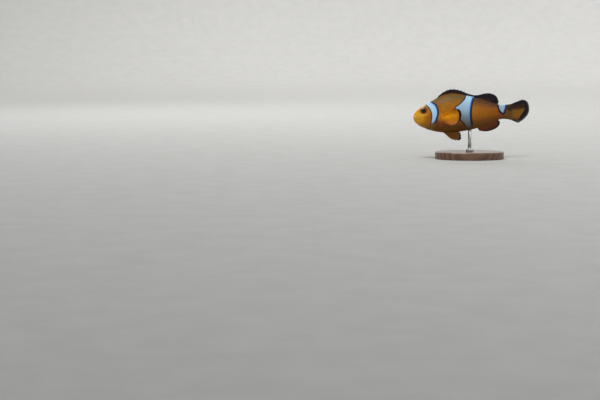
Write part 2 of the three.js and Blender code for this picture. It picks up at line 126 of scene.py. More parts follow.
back = body_outline(BACK)
belly = body_outline(BELLY)
middle = body_outline(MIDDLE)
flank = body_outline(HALF_WIDTH)
gill_opening = spline(GILL_OPENING)
cheek_edge = spline(CHEEK_EDGE)


def half_width(behind):
    """Half the body's width, which thins out evenly over the root of the tail fin."""
    past = np.maximum(np.asarray(behind, float) - BODY_LENGTH, 0)
    return flank(np.minimum(behind, BODY_LENGTH)) - PEDUNCLE_TAPER * past


def place(behind, side, up):
    """From the fish's own coordinates along its curved spine to the model's, in mm."""
    behind, side, up = np.broadcast_arrays(behind, side, up)
    turn = SWING_PER_MM * np.maximum(behind - SWING_START, 0)
    x = side * np.cos(turn) - (1 - np.cos(turn)) / SWING_PER_MM
    y = np.minimum(behind, SWING_START) + np.sin(turn) / SWING_PER_MM + side * np.sin(turn)
    return np.stack([x, y + SNOUT_Y, up + SNOUT_HEIGHT], -1)


def section(behind, angle):
    """Side and up of the body's outside at an angle from the back, through the left flank."""
    rise, reach = np.cos(angle), np.sin(angle)
    above = rise > 0
    centre = middle(behind)
    edge = np.where(above, back(behind), belly(behind))
    power = np.where(above, UPPER_FLANK, LOWER_FLANK)
    side = half_width(behind) * np.sign(reach) * np.abs(reach) ** power
    shrunk = 1 - PEDUNCLE_ROUNDING * np.maximum(behind - BODY_LENGTH, 0) ** 2
    return side, centre + (edge - centre) * np.abs(rise) * shrunk


def lerp(a, b, t):
    return a + (b - a) * t


def outside(behind, angle):
    return place(behind, *section(behind, angle))


def unit(vectors):
    return vectors / np.maximum(np.linalg.norm(vectors, axis=-1, keepdims=True), 1e-9)


def outward(behind, angle):
    """Outward normals of the body's outside."""
    nudge = 1e-3
    down = outside(behind, angle + nudge) - outside(behind, angle - nudge)
    behind = np.maximum(behind, 2 * nudge)
    along = outside(behind + nudge, angle) - outside(behind - nudge, angle)
    return unit(np.cross(down, along))


def ease(value, low, high):
    """0 below low and 1 above high, smooth between. Low may be the larger."""
    t = np.clip((value - low) / (high - low), 0, 1)
    return t * t * (3 - 2 * t)


def band(value, low, full, last, high):
    """1 from full to last, easing to 0 at low before them and at high after them."""
    return ease(value, low, full) * ease(value, high, last)


def within(distance, width, blur):
    """1 nearer than a width and 0 beyond it, with a soft edge."""
    return ease(distance, width + blur, width - blur)


def hump(value, centre, width):
    """1 at the centre, falling off to either side."""
    return np.exp(-(((value - centre) / width) ** 2))


# ---- relief of the skin


def eye_pose(side):
    """The eyeball's middle and the way it looks, for side 1 (left) or -1 (right)."""
    look = np.array([
        side * math.cos(EYE_FORWARD_TURN) * math.cos(EYE_UPWARD_TURN),
        -math.sin(EYE_FORWARD_TURN),
        math.sin(EYE_UPWARD_TURN),
    ])
    look /= np.linalg.norm(look)
    rise = (EYE_UP - middle(EYE_BEHIND)) / (back(EYE_BEHIND) - middle(EYE_BEHIND))
    width = half_width(EYE_BEHIND) * math.sqrt(1 - rise**2) ** UPPER_FLANK
    surface = place(EYE_BEHIND, side * width, EYE_UP)
    return surface + look * (EYE_BULGE - EYE_HALF_DEPTH), look


def seen_from_eye(points, side):
    """How far points lie ahead of an eye's middle and off its line of sight, and that line."""
    centre, look = eye_pose(side)
    arm = points - centre
    ahead = arm @ look
    return ahead, np.linalg.norm(arm - ahead[..., None] * look, axis=-1), look


def off_eye_axis(points):
    """How far points lie off the nearer eye's line of sight."""
    nearest = np.full(points.shape[:-1], FAR)
    for side in (1, -1):
        ahead, off, _ = seen_from_eye(points, side)
        nearest = np.minimum(nearest, np.where(ahead > -0.5, off, FAR))
    return nearest


def settle_round_eyes(points):
    """Draws the skin round each eye in to a level collar that the eyeball stands out of."""
    for side in (1, -1):
        ahead, off, look = seen_from_eye(points, side)
        move = np.clip(COLLAR_HEIGHT - ahead, COLLAR_LOWEST, COLLAR_HIGHEST)
        move = move * ease(off, COLLAR_REACH, COLLAR_FULL) * ease(ahead, -1.7, -0.7)
        points = points + move[..., None] * look
    return points


def off_mouth(behind, up):
    """Height above the line of the mouth, which turns down a little towards its corners."""
    return up - middle(behind) + MOUTH_DROOP * ease(behind, 1.0, 3.6)


def lips_relief(behind, up):
    """Two fleshy lips either side of the mouth, and the fold of the jaw bone behind its corner."""
    off = off_mouth(behind, up)
    along = ease(behind, MOUTH_LENGTH + 1.1, 1.0)
    full = lerp(1.0, 0.55, ease(behind, 0.3, MOUTH_LENGTH + 0.4))
    slit = -0.6 * hump(off, 0, 0.13) * ease(behind, MOUTH_LENGTH + 0.25, MOUTH_LENGTH - 0.35)
    upper = 0.34 * full * hump(off, 0.5 * full, 0.36 * full) - 0.18 * hump(off, 1.16 * full, 0.22)
    lower = 0.37 * full * hump(off, -0.58 * full, 0.4 * full) - 0.2 * hump(off, -1.38 * full, 0.26)
    bone = behind - MOUTH_LENGTH - 0.85 - 0.3 * off
    fold = 0.12 * hump(bone, -0.36, 0.32) - 0.14 * hump(bone, 0.14, 0.18)
    chin = 0.1 * hump(off, -2.6, 0.8) * ease(behind, 4.5, 2.5)
    return along * (upper + lower) + slit + fold * band(off, -2.5, -1.3, 0.6, 1.6) + chin


def eye_relief(points):
    """The socket that the eyeball sits in, and the raised rim round it."""
    off = off_eye_axis(points)
    return 0.1 * hump(off, 2.36, 0.2) - 0.06 * hump(off, 2.85, 0.3) - 1.3 * ease(off, 2.14, 1.6)


def gill_strength(up):
    """1 where the gill cover stands open, fading out at the nape and the throat."""
    return band(up, -9.5, -7.5, 6.5, 9.5)


def gill_relief(behind, up):
    """The free edge of the gill cover, the cheek's edge in front of it and folds at the throat."""
    past = behind - gill_opening(up)
    gill = 0.24 * band(past, -3.4, -0.3, -0.02, 0.18) - 0.34 * band(past, -0.02, 0.2, 0.25, 2.4)
    over = behind - cheek_edge(up)
    cheek = 0.1 * band(over, -2.0, -0.3, -0.2, 0.4) - 0.08 * band(over, -0.15, 0.4, 0.4, 1.8)
    folds = sum(hump(up + drop + 0.2 * (behind - 8), 0, 0.2) for drop in (5.3, 6.5, 7.5))
    throat = -0.1 * folds * band(behind, 5.5, 7, 11, 13)
    return gill * gill_strength(up) + cheek * band(up, -8.0, -5.0, 2.5, 6.5) + throat


def off_nostril(behind, up):
    return np.hypot(behind - NOSTRIL[0], up - NOSTRIL[1])


def nostril_relief(behind, up):
    off = off_nostril(behind, up)
    return 0.09 * hump(off, 0.34, 0.13) - 0.34 * hump(off, 0, 0.19)


def fin_base_relief(side, behind, up):
    """Swellings where the fins grow out of the body."""
    ridge = hump(side, 0, 0.9)
    dorsal = 0.22 * ridge * ease(up, 7, 8) * band(behind, 14.5, 17, 56, 58)
    anal = 0.2 * ridge * ease(up, 0, -1) * band(behind, 42, 44, 56.5, 58)
    lean = up + 0.45
    across = behind - 18.3 + 0.22 * lean
    pad = 0.62 * hump(across, 0, 0.95) * ease(np.abs(lean), 3.3, 1.6) * (np.abs(side) > 3)
    return dorsal + anal + pad


def relief(behind, angle):
    """How far the skin stands out of the plain body, or lies under it."""
    side, up = section(behind, angle)
    made = lips_relief(behind, up) + eye_relief(place(behind, side, up)) + gill_relief(behind, up)
    return made + nostril_relief(behind, up) + fin_base_relief(side, behind, up)


def skin_point(behind, angle, lift=0.0):
    """A point of the skin, which lies the coat's depth inside the solids, lifted off it by some mm."""
    thin = half_width(behind) / half_width(BODY_LENGTH) + ease(behind, 60, 56)
    rise = relief(behind, angle) + lift - COAT * np.minimum(1, thin)
    return settle_round_eyes(outside(behind, angle) + outward(behind, angle) * rise[..., None])


# ---- markings

# Each bar's edges as seen from the side: (up, behind), from low to high. The pairs say the width of the
# black round it and how blue that is, at the front edge and at the rear one.
BARS = [
    {
        "front": [(-8, 9.6), (-6.2, 11.2), (-4.4, 12.05), (-2.5, 12.6), (0.5, 12.9), (3.2, 12.6),
                  (5.6, 11.6), (7.3, 10.2), (8.7, 8.6), (11, 6.4)],
        "rear": [(-8, 9.9), (-6.2, 11.9), (-4.7, 13.4), (-1.8, 15.1), (0.5, 15.9), (3.2, 16.3),
                 (5.7, 15.8), (8.3, 14.2), (10.2, 11.6), (12, 9.2)],
        "span": (-7.6, 30),
        "black": (0.5, 1.0),
        "blue": (0.2, 0.85),
    },
    {
        "front": [(-12, 39.0), (-7.7, 36.6), (-4.3, 34.4), (-2.2, 32.6), (0, 30.6), (2.5, 29.1),
                  (4.8, 28.3), (6.6, 28.6), (7.6, 29.8), (8.7, 31.4), (10.4, 33.2), (12.3, 34.6),
                  (15, 35.3), (19, 36.0)],
        "rear": [(-12, 39.4), (-7.5, 38.9), (-2.8, 38.4), (1.7, 37.9), (7.5, 38.2), (11.6, 39.0),
                 (14.5, 40.2), (19, 42.6)],
        "span": (-30, 30),
        "black": (0.55, 1.2),
        "blue": (0.25, 1.0),
    },
    {
        "front": [(1, 63.5), (2.6, 60.5), (3.0, 59.8), (3.5, 59.2), (4.2, 58.55), (5.1, 58.0),
                  (6.2, 57.6), (7.6, 57.5), (8.8, 58.1), (10, 59.0)],
        "rear": [(1, 57.5), (2.6, 59.9), (3.0, 60.35), (3.5, 60.8), (4.2, 61.2), (5.5, 61.7), (7, 62.2),
                 (8.7, 62.5), (10, 62.8)],
        "span": (2.5, 30),
        "black": (1.05, 1.3),
        "blue": (0.1, 1.0),
    },
]
FIRST_BAR_BEFORE, MIDDLE_BAR_BEFORE = 20, 50
# How white the middle bar is, by height: it greys towards the bottom, partly as painted shade.
middle_bar_fade = spline([(-9, 0.01), (-6, 0.04), (-3, 0.14), (-0.5, 0.27), (2.2, 0.48), (5, 0.70),
                          (8, 0.77), (11, 0.84), (14, 0.87)])
REAR_BAR_FADE = 0.62
SIGHT_SLOPE = 0.12
SIGHT_RISE = 0.05


def edge_distance(knots, behind, up):
    """How far points lie behind an edge, measured square to it."""
    edge, tiny = spline(knots), 0.05
    lean = (edge(up + tiny) - edge(up - tiny)) / (2 * tiny)
    return (behind - edge(up)) / np.hypot(1, lean)


def bar_distance(behind, side, up):
    """How deep points lie inside the nearest white bar (negative outside), with the width of the black
    round that edge and how blue it is."""
    seen_behind = behind + SIGHT_SLOPE * np.abs(side)
    seen_up = up - SIGHT_RISE * np.abs(side)
    depth = np.full(np.shape(seen_behind), -FAR)
    black, blue = np.ones_like(depth), np.zeros_like(depth)
    for bar in BARS:
        low, high = bar["span"]
        ahead = edge_distance(bar["front"], seen_behind, seen_up)
        after = -edge_distance(bar["rear"], seen_behind, seen_up)
        inside = np.minimum(np.minimum(ahead, after), np.minimum(seen_up - low, high - seen_up))
        nearer = inside > depth
        to_rear = ease(ahead - after, -0.4, 0.4)
        black = np.where(nearer, lerp(*bar["black"], to_rear), black)
        blue = np.where(nearer, lerp(*bar["blue"], to_rear), blue)
        depth = np.where(nearer, inside, depth)
    return depth, black, blue


def by_bar(behind, first, second, third):
    """One value near the first bar, another near the middle one and a third near the rear one."""
    rest = np.where(behind < MIDDLE_BAR_BEFORE, second, third)
    return np.where(behind < FIRST_BAR_BEFORE, first, rest)


def body_values(behind, side, up):
    """The values that the skin's material reads, for points given in the fish's own coordinates."""
    depth, black, blue = bar_distance(behind, side, up)
    above_belly = up - belly(behind)
    height = above_belly / np.maximum(back(behind) - belly(behind), 0.5)
    # The first bar's white fades out low down and the rear bar is less white throughout. The greying
    # towards the bottom is partly the bars' own colour and partly painted shade.
    first_fade = ease(up, -4.8, -2.2) - 0.1 * ease(up, 3, 9)
    # The bars' black edges weaken towards the bottom.
    first_black_edge, middle_black_edge = lerp(0.2, 1, ease(up, -5.0, -2.2)), lerp(0.35, 1, ease(up, -7.5, -3.5))
    # Painted shade: a reddish darkening below the pectoral fin's root. A reddish tone just behind the head
    # bar is added to it.
    shade_below_fin = 1.7 * hump(behind, 18.7, 2.6) * hump(up, -2.8, 1.9)
    blush_and_shade = shade_below_fin + 0.5 * hump(behind, 16.6, 1.3) * hump(up, 1.0, 5.0)
    mouth = off_mouth(behind, up)
    slit = hump(mouth, 0, 0.15) * ease(behind, MOUTH_LENGTH + 0.2, MOUTH_LENGTH - 0.4)
    pit = hump(off_nostril(behind, up), 0, 0.2)
    gill_slit = 0.6 * hump(behind - gill_opening(up), 0.2, 0.13) * gill_strength(up)
    off = off_eye_axis(place(behind, side, up))
    # The underside of the tail's root darkens to black.
    under = ease(above_belly, 1.0, 0.5) * band(behind, 58.8, 60, 63.4, 64.6)
    # Painted shade: darker patches on the belly before the middle bar and just behind the first bar's low
    # end.
    painted_shade = 0.34 * hump(behind, 33, 3.4) * hump(up, -7.0, 3.2)
    painted_shade = painted_shade + 0.4 * hump(behind, 15.7, 1.0) * hump(up, -3.2, 1.7)
    return {
        "bar": depth, "black": black, "blue": blue, "behind": behind,
        "height": np.clip(height, -0.3, 1.3),
        "whiteness": by_bar(behind, first_fade, middle_bar_fade(up), REAR_BAR_FADE),
        "black_edge_strength": by_bar(behind, first_black_edge, middle_black_edge, 1.0),
        "blush_and_shade": blush_and_shade,
        # Painted shadow in the mouth's slit, the nostril's pit and the gill opening.
        "groove_shadow": np.maximum(np.maximum(slit, pit), gill_slit),
        "lips": ease(np.abs(mouth), 1.2, 0.7) * ease(behind, MOUTH_LENGTH + 0.6, 0.6),
        "orbit": ease(off, 2.55, 2.2),
        "dusk": ease(off, 4.6, 2.4) * (0.35 + 0.65 * ease(up, 4.0, 6.5)),
        # The pectoral fin's fleshy root in bright orange: partly its own colour, partly painted light that
        # lifts the shade at the fin's root.
        "pad": 0.8 * hump(behind, 18.2, 1.7) * hump(up, 0.0, 2.6),
        "black_and_shade": np.maximum(under, painted_shade),
    }


# ---- meshes


def grid_faces(rows, columns, closed=False):
    """Quads of a grid of points, row after row. A closed grid joins its last column to its first."""
    row = np.arange(rows - 1)[:, None]
    column = np.arange(columns if closed else columns - 1)[None, :]
    corner = row * columns + column
    beside = row * columns + (column + 1) % columns
    return np.stack([corner, beside, beside + columns, corner + columns], -1).reshape(-1, 4)


def capped_faces(rings, columns):
    """Faces of closed rings of points, with fans to the two poles that follow them in the list."""
    faces = grid_faces(rings, columns, closed=True).tolist()
    pole, end = rings * columns, (rings - 1) * columns
    for i in range(columns):
        after = (i + 1) % columns
        faces += [(pole, after, i), (pole + 1, end + i, end + after)]
    return faces


def sheet_faces(rows, columns, corner=0):
    """Faces of a closed sheet: a grid of points, the same grid again behind it, and a rim round both.
    The corner that the rim's quads start from settles how they are split."""
    count = rows * columns
    front = grid_faces(rows, columns)
    index = np.arange(count).reshape(rows, columns)
    border = np.concatenate([index[0, :-1], index[:-1, -1], index[-1, :0:-1], index[:0:-1, 0]])
    onward = np.roll(border, -1)
    rim = np.stack([border + count, onward + count, onward, border], -1)
    return np.vstack([front, front[:, ::-1] + count, np.roll(rim, corner, axis=1)])


def mesh_object(name, points, faces, material):
    """A smooth mesh in the scene, from points in mm."""
    mesh = bpy.data.meshes.new(name)
    mesh.from_pydata((points * MM).tolist(), [], faces)
    mesh.materials.append(material)
    mesh.shade_smooth()
    made = bpy.data.objects.new(name, mesh)
    bpy.context.scene.collection.objects.link(made)
    return made


def make_piece(name, points, faces, material, values=None, nodes=()):
    """A piece that rides on the root, carries values for its material, and may replace CAD nodes."""
    piece = mesh_object(name, points, faces, material)
    for key, data in (values or {}).items():
        layer = piece.data.attributes.new(key, "FLOAT", "POINT")
        layer.data.foreach_set("value", np.ascontiguousarray(data, np.float32).ravel())
    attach(piece, "root")
    if nodes:
        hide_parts(*nodes)
    return piece


SKIN_COLUMNS = 204
RING_GAPS = [(0, 0.05), (1, 0.07), (5, 0.09), (9, 0.11), (14, 0.13), (19, 0.16), (24, 0.42), (60, 0.5),
             (64, 0.4), (68, 0.3)]
FIRST_RINGS = 8
FIRST_RING_ROOT = 0.045


def ring_places():
    """Rings along the body, close together on the head and wider apart under the scales."""
    found = [(FIRST_RING_ROOT * i) ** 2 for i in range(1, FIRST_RINGS + 1)]
    at, gap = np.array(RING_GAPS, float).T
    while found[-1] < SKIN_END:
        found.append(found[-1] + np.interp(found[-1], at, gap))
    found[-1] = SKIN_END
    return np.array(found)


def body_skin():
    """Points, faces and values of the body's skin, with its pole at the mouth."""
    columns = SKIN_COLUMNS
    steps = np.arange(columns) / columns * 2 * math.pi
    b, a = np.meshgrid(ring_places(), steps + 0.2 * np.sin(2 * steps), indexing="ij")
    points = skin_point(b, a).reshape(-1, 3)
    values = body_values(b, *section(b, a))
    values = {key: np.broadcast_to(value, b.shape).ravel() for key, value in values.items()}
    pole = (points[columns // 4] + points[3 * columns // 4]) / 2
    points = np.vstack([points, pole, points[-columns:].mean(0)])
    values = {key: np.append(at, [at[columns // 4], at[-1]]) for key, at in values.items()}
    return points, capped_faces(len(b), columns), values


# ---- fins

DORSAL_BASE = (15.4, 56.6)
DORSAL_TIPS = [(17.0, 14.6), (22.4, 18.2), (27.4, 19.0), (32.0, 18.0), (36.0, 16.2),
               (39.6, 15.1), (43.4, 14.9), (48.3, 16.1), (52.8, 15.8), (56.4, 13.6), (57.6, 10.0)]
DORSAL_SPLIT = 0.56
DORSAL_SPINES = 11
DORSAL_SOFT_RAYS = 14
ANAL_BASE = (43, 57)
ANAL_TIPS = [(44.2, -8.8), (48.6, -9.4), (53.0, -8.7), (56.8, -6.9), (58.5, -4.8), (58.4, -2.8)]
TAIL_FIN_TIPS = [(74.6, 11.4), (77.7, 11.1), (80.4, 9.4), (81.6, 6.6), (81.4, 3.4), (79.5, 0.4),
                 (76.3, -2.3), (72.3, -4.2)]
PECTORAL_ROOT = [(17.7, 1.9), (18.8, -2.8)]
PECTORAL_TIPS = [(25.8, 6.1), (29.0, 6.1), (31.0, 4.2), (31.3, 1.3), (30.0, -2.0), (27.4, -4.3),
                 (24.6, -4.7)]
PECTORAL_SPREAD = 7.2
PECTORAL_CURL = 2.0
PELVIC_ROOT = [(19.6, -9.3), (23.4, -9.6)]
PELVIC_TIPS = [(25.4, -14.4), (28.6, -15.0), (31.5, -14.7), (31.8, -12.3), (31.4, -9.8)]
PELVIC_SIDE = 2.1
PELVIC_SPREAD = 2.6

MEMBRANE = 0.05
FIN_RIM = 0.25
RAY_HALF = 0.17
SHEATH_HALF = 0.42

ANAL_RAYS, TAIL_RAYS, PECTORAL_RAYS, PELVIC_RAYS = 14, 17, 17, 6

# Widths of the fins' margins in mm, over the rays from 0 to 1.
tail_pale_width = spline([(0, 0.6), (0.2, 1.15), (0.5, 1.2), (0.8, 1.6), (1, 1.3)])
tail_black_width = spline([(0, 1.8), (0.25, 2.4), (0.5, 3.6), (0.62, 4.9), (0.8, 3.6), (1, 1.7)])
pectoral_black_width = spline([(0, 1.0), (0.15, 1.6), (0.3, 2.2), (0.45, 2.2), (0.7, 1.3), (1, 0.35)])
pelvic_black_width = spline([(0, 0.3), (0.25, 0.6), (0.45, 2.0), (0.7, 1.6), (1, 1.6)])


def tip_line(tips):
    """The line of a fin's tips, as a function of u that gives behind and up."""
    at = np.linspace(0, 1, len(tips))
    behind, up = (spline(list(zip(at, column))) for column in zip(*tips))
    return lambda u: (behind(u), up(u))


def ray_gap(u, rays):
    """How far u lies between the two rays on either side of it, from 0 to 1."""
    after = np.clip(np.searchsorted(rays, u), 1, len(rays) - 1)
    return (u - rays[after - 1]) / (rays[after] - rays[after - 1])


def ray_ridge(u, v, rays, branches_from):
    """1 on a fin ray and 0 on the membrane. The rays fork once, then again, on their way out."""
    across = ray_gap(u, rays)
    off = np.minimum(np.abs(across), np.abs(1 - across))
    off = np.abs(off - 0.19 * ease(v, branches_from, branches_from + 0.35))
    off = np.abs(off - 0.085 * ease(v, branches_from + 0.28, 1.0))
    return np.exp(-((off / lerp(0.17, 0.075, v)) ** 2))


def fin(mid, rays, steps, reach, ripple, branches_from=0.42, sheath=SHEATH_HALF, per_ray=8, slim=None,
        rim=FIN_RIM):
    """A closed sheet round a fin's middle surface, thick on its rays and thin between them.

    mid(u, v) gives points in mm, u over the rays and v from root to tip. Returns points, faces, and
    u, v, the ray's ridge, the distance to the tips and the distance from the root, for each point."""
    along = np.interp(np.arange((len(rays) - 1) * per_ray + 1) / per_ray, np.arange(len(rays)), rays)
    u, v = np.meshgrid(along, np.linspace(0, 1, steps) ** 0.9, indexing="ij")
    length = np.linalg.norm(mid(u, 1 + 0 * v) - mid(u, 0 * v), axis=-1)
    rim = rim * ease(length, 0.0, 5.0)
    out = v * (1 + rim / length) * reach(u)
    nudge = 1e-3
    across = mid(u + nudge, out) - mid(u - nudge, out)
    normal = unit(np.cross(across, mid(u, out + nudge) - mid(u, out - nudge)))
    ridge = ray_ridge(u, v, rays, branches_from)
    half = MEMBRANE * (1 - 0.4 * v) + RAY_HALF * ridge * (1 - 0.72 * v) + sheath * hump(v, 0, 0.13)
    half = half * (ease(v, 1.0, 0.985) * 0.85 + 0.15) * (slim(u, v) if slim else 1)
    centre = mid(u, out) + (ripple(u, v) * ease(v, 0.1, 0.6))[..., None] * normal
    points = [(centre + face * half[..., None] * normal).reshape(-1, 3) for face in (1, -1)]
    at = {"u": u, "v": v, "ridge": ridge, "to_tip": (1 - out) * length + rim, "reach": out * length}
    at = {key: np.tile(value.ravel(), 2) for key, value in at.items()}
    return np.vstack(points), sheet_faces(*u.shape), at


def fringe(rays, depth):
    """Tips that reach out along each ray and hang back between them."""
    return lambda u: 0.988 - depth * np.sin(math.pi * np.clip(ray_gap(u, rays), 0, 1))


def fin_values(at, ink, pale, tone, warmth=0.0, gold=0.0, white=0.0):
    """The values that the fins' material reads."""
    made = {"ink": np.clip(ink, 0, 1), "pale": np.clip(pale, 0, 1), "tone": np.clip(tone, 0, 1),
            "warmth": warmth, "gold": gold, "white": white}
    made = {key: value + np.zeros_like(at["u"]) for key, value in made.items()}
    return made | {"ridge": at["ridge"], "out": at["v"], "reach": at["reach"]}


def median_fin(root, tips):
    def mid(u, v):
        root_behind, root_up = root(u)
        tip_behind, tip_up = tips(u)
        return place(lerp(root_behind, tip_behind, v), 0.0, lerp(root_up, tip_up, v))
    return mid


def dorsal_fin():
    """Spines in front and soft rays behind, black-edged and white over the middle bar."""
    def root(u):
        behind = lerp(*DORSAL_BASE, u)
        return behind, back(behind) - ROOT_SINK

    spines = np.linspace(0, DORSAL_SPLIT, DORSAL_SPINES + 1)[:-1]
    rays = np.concatenate([spines, np.linspace(DORSAL_SPLIT, 1, DORSAL_SOFT_RAYS)])
    spiny_fringe, soft_fringe = fringe(rays, 0.12), fringe(rays, 0.03)
    reach = lambda u: np.where(u < DORSAL_SPLIT, spiny_fringe(u), soft_fringe(u))
    ripple = lambda u, v: 0.16 * np.sin(u * 43 + 2 * v) + 0.1 * np.sin(u * 19)
    mid = median_fin(root, tip_line(DORSAL_TIPS))
    points, faces, at = fin(mid, rays, 15, reach, ripple, branches_from=0.5, rim=0.0)
    u, from_root = at["u"], at["reach"]
    spiny = ease(u, DORSAL_SPLIT + 0.02, DORSAL_SPLIT - 0.02)
    to_edge = np.minimum(at["to_tip"], (1 - u) * 30)
    ink = within(to_edge, lerp(4.1, 2.7, spiny), lerp(1.7, 1.5, spiny))
    pale = 0.4 * ease(to_edge, 0.32, 0.14)
    soft_tone = 0.82 + 0.16 * ease(from_root, 0.8, 2.2)
    spiny_tone = 0.62 + 0.34 * ease(from_root, 0.6, 2.0)
    base = lerp(*DORSAL_BASE, u)
    in_bar, _, _ = bar_distance(base, 0.0, back(base))
    white = ease(in_bar, -0.1, 0.3) * ease(from_root, ROOT_SINK + 0.9, ROOT_SINK + 0.3)
    return points, faces, fin_values(at, ink, pale, lerp(soft_tone, spiny_tone, spiny), white=white)


def anal_fin():
    def root(u):
        behind = lerp(*ANAL_BASE, u)
        return behind, belly(behind) + ROOT_SINK

    rays = np.linspace(0, 1, ANAL_RAYS)
    ripple = lambda u, v: 0.14 * np.sin(u * 17 + 1)
    points, faces, at = fin(median_fin(root, tip_line(ANAL_TIPS)), rays, 14, fringe(rays, 0.03), ripple)
    u = at["u"]
    to_edge = np.minimum(at["to_tip"], (1 - u) * 12)
    ink = within(to_edge, lerp(0.5, 1.7, ease(u, 0.05, 0.8)), 0.4)
    pale = 0.35 * ease(to_edge, 0.28, 0.1)
    tone = lerp(0.55, 0.86, ease(at["reach"], ROOT_SINK + 0.4, ROOT_SINK + 3.2))
    return points, faces, fin_values(at, ink, pale, tone)


def tail_sheet():
    """The tail fin's points, faces and places on it."""
    start = BODY_LENGTH - 1.6
    top, bottom = back(start) - ROOT_SINK, belly(start) + ROOT_SINK
    root = lambda u: (start + 0 * u, lerp(top, bottom, u))
    rays = np.linspace(0, 1, TAIL_RAYS)
    ripple = lambda u, v: 0.18 * np.sin(u * 11 + 0.5) * v
    slim = lambda u, v: lerp(0.2, 1, np.maximum(ease(np.minimum(u, 1 - u), 0.0, 0.16), ease(v, 0.2, 0.5)))
    mid = median_fin(root, tip_line(TAIL_FIN_TIPS))
    return fin(mid, rays, 32, fringe(rays, 0.022), ripple, branches_from=0.3, sheath=0.2, slim=slim)


def tail_fin():
    """Nearly black above, with a gold wedge below and a black margin that has a pale rim."""
    points, faces, at = tail_sheet()
    u, v, to_tip = at["u"], at["v"], at["to_tip"]
    to_side = lerp(u, 1 - u, ease(u, 0.4, 0.6)) * lerp(11, 17, v) + 2.2 * ease(v, 0.55, 0.1)
    to_edge = np.minimum(to_tip, to_side)
    pale_width = tail_pale_width(u) * ease(v, 0.4, 0.85)
    ink = np.maximum(within(to_tip, pale_width + tail_black_width(u), 0.7),
                     within(to_side, lerp(1.8, 1.3, u), 0.5))
    ink = np.maximum(ink, 0.72 * ease(u, 0.34, 0.14) * ease(v, 0.1, 0.4))
    pale = within(to_edge, pale_width, 0.2) * lerp(0.8, 0.4, ease(u, 0.3, 0.9)) * ease(v, 0.5, 0.8)
    lobe_edge = lerp(0.39, 0.53, v)
    upper = ease(u, lobe_edge + 0.04, lobe_edge - 0.1) * (0.88 + 0.08 * ease(v, 0.2, 0.6))
    lower = ease(u, 0.74, 0.98) * ease(v, 0.1, 0.5)
    wedge = band(u, lobe_edge - 0.03, lobe_edge + 0.08, 0.72, 0.97) * band(v, 0.05, 0.3, 0.4, 0.85)
    tone = np.maximum(upper, 0.55 * lower)
    return points, faces, fin_values(at, ink, pale, tone, 0.3 * wedge, 1 - 0.2 * wedge)


def paired_mid(side, root_ends, tips, side_at_root, spread, curl):
    """A paired fin's middle surface. Its rays run from the top on the left and from the bottom on the
    right, to keep the sheet's front out."""
    tip_at = tip_line(tips)
    (first_behind, first_up), (last_behind, last_up) = root_ends

    def mid(u, v):
        u = u if side > 0 else 1 - u
        root_behind = lerp(first_behind, last_behind, u)
        root_up = lerp(first_up, last_up, u)
        tip_behind, tip_up = tip_at(u)
        out = side_at_root(root_behind, root_up) + spread * v - curl * v * v
        return place(lerp(root_behind, tip_behind, v), side * out, lerp(root_up, tip_up, v))
    return mid


def flank_width(behind, up):
    above = up > middle(behind)
    edge = np.where(above, back(behind), belly(behind))
    rise = np.clip((up - middle(behind)) / (edge - middle(behind)), 0, 1)
    return half_width(behind) * np.sqrt(1 - rise**2) ** np.where(above, UPPER_FLANK, LOWER_FLANK)


def pectoral_fin(side):
    """Orange, browner below and towards its tips, with a black margin that is widest above. The browning
    and the bright root are partly its own colour and partly painted shade and light.
    """
    mid = paired_mid(side, PECTORAL_ROOT, PECTORAL_TIPS, lambda b, z: flank_width(b, z) - ROOT_SINK,
                     PECTORAL_SPREAD, PECTORAL_CURL)
    rays = np.linspace(0, 1, PECTORAL_RAYS)
    ripple = lambda u, v: 0.22 * np.sin(u * 15 + 1.3 * v)
    points, faces, at = fin(mid, rays, 26, fringe(rays, 0.03), ripple, branches_from=0.4, sheath=0.32)
    u = at["u"] if side > 0 else 1 - at["u"]
    v, to_tip = at["v"], at["to_tip"]
    width = pectoral_black_width(u)
    ink = within(to_tip, width, 0.3) * ease(v, 0.3, 0.5)
    pale = 0.3 * ease(to_tip, 0.3, 0.12)
    # Partly painted shade and light: the lower rays and the outer part go darker and browner, and the root
    # stays bright orange.
    outer, lower = ease(v, 0.35, 0.8), ease(u, 0.45, 0.85)
    tone = np.maximum(0.3 * ease(to_tip, width + 2.4, width + 0.2), 0.28 * lower)
    return points, faces, fin_values(at, ink, pale, tone, lerp(1, 0.5, outer) * lerp(1, 0.2, lower))


def pelvic_fin(side):
    """Olive gold, with a black tip and a pale fleck before it."""
    mid = paired_mid(side, PELVIC_ROOT, PELVIC_TIPS, lambda b, z: PELVIC_SIDE, PELVIC_SPREAD, 0.0)
    rays = np.linspace(0, 1, PELVIC_RAYS)
    ripple = lambda u, v: 0.12 * np.sin(u * 9)
    points, faces, at = fin(mid, rays, 22, fringe(rays, 0.05), ripple, branches_from=0.35, sheath=0.36,
                            per_ray=10)
    u = at["u"] if side > 0 else 1 - at["u"]
    to_tip = at["to_tip"]
    ink = within(to_tip, pelvic_black_width(u), 0.4) * ease(at["v"], 0.3, 0.6)
    pale = 0.7 * hump(to_tip, 2.4, 0.3) * hump(u, 0.5, 0.17) + 0.2 * ease(to_tip, 0.25, 0.1)
    return points, faces, fin_values(at, ink, pale, 0.34, 0.1, 0.72)


# ---- scales

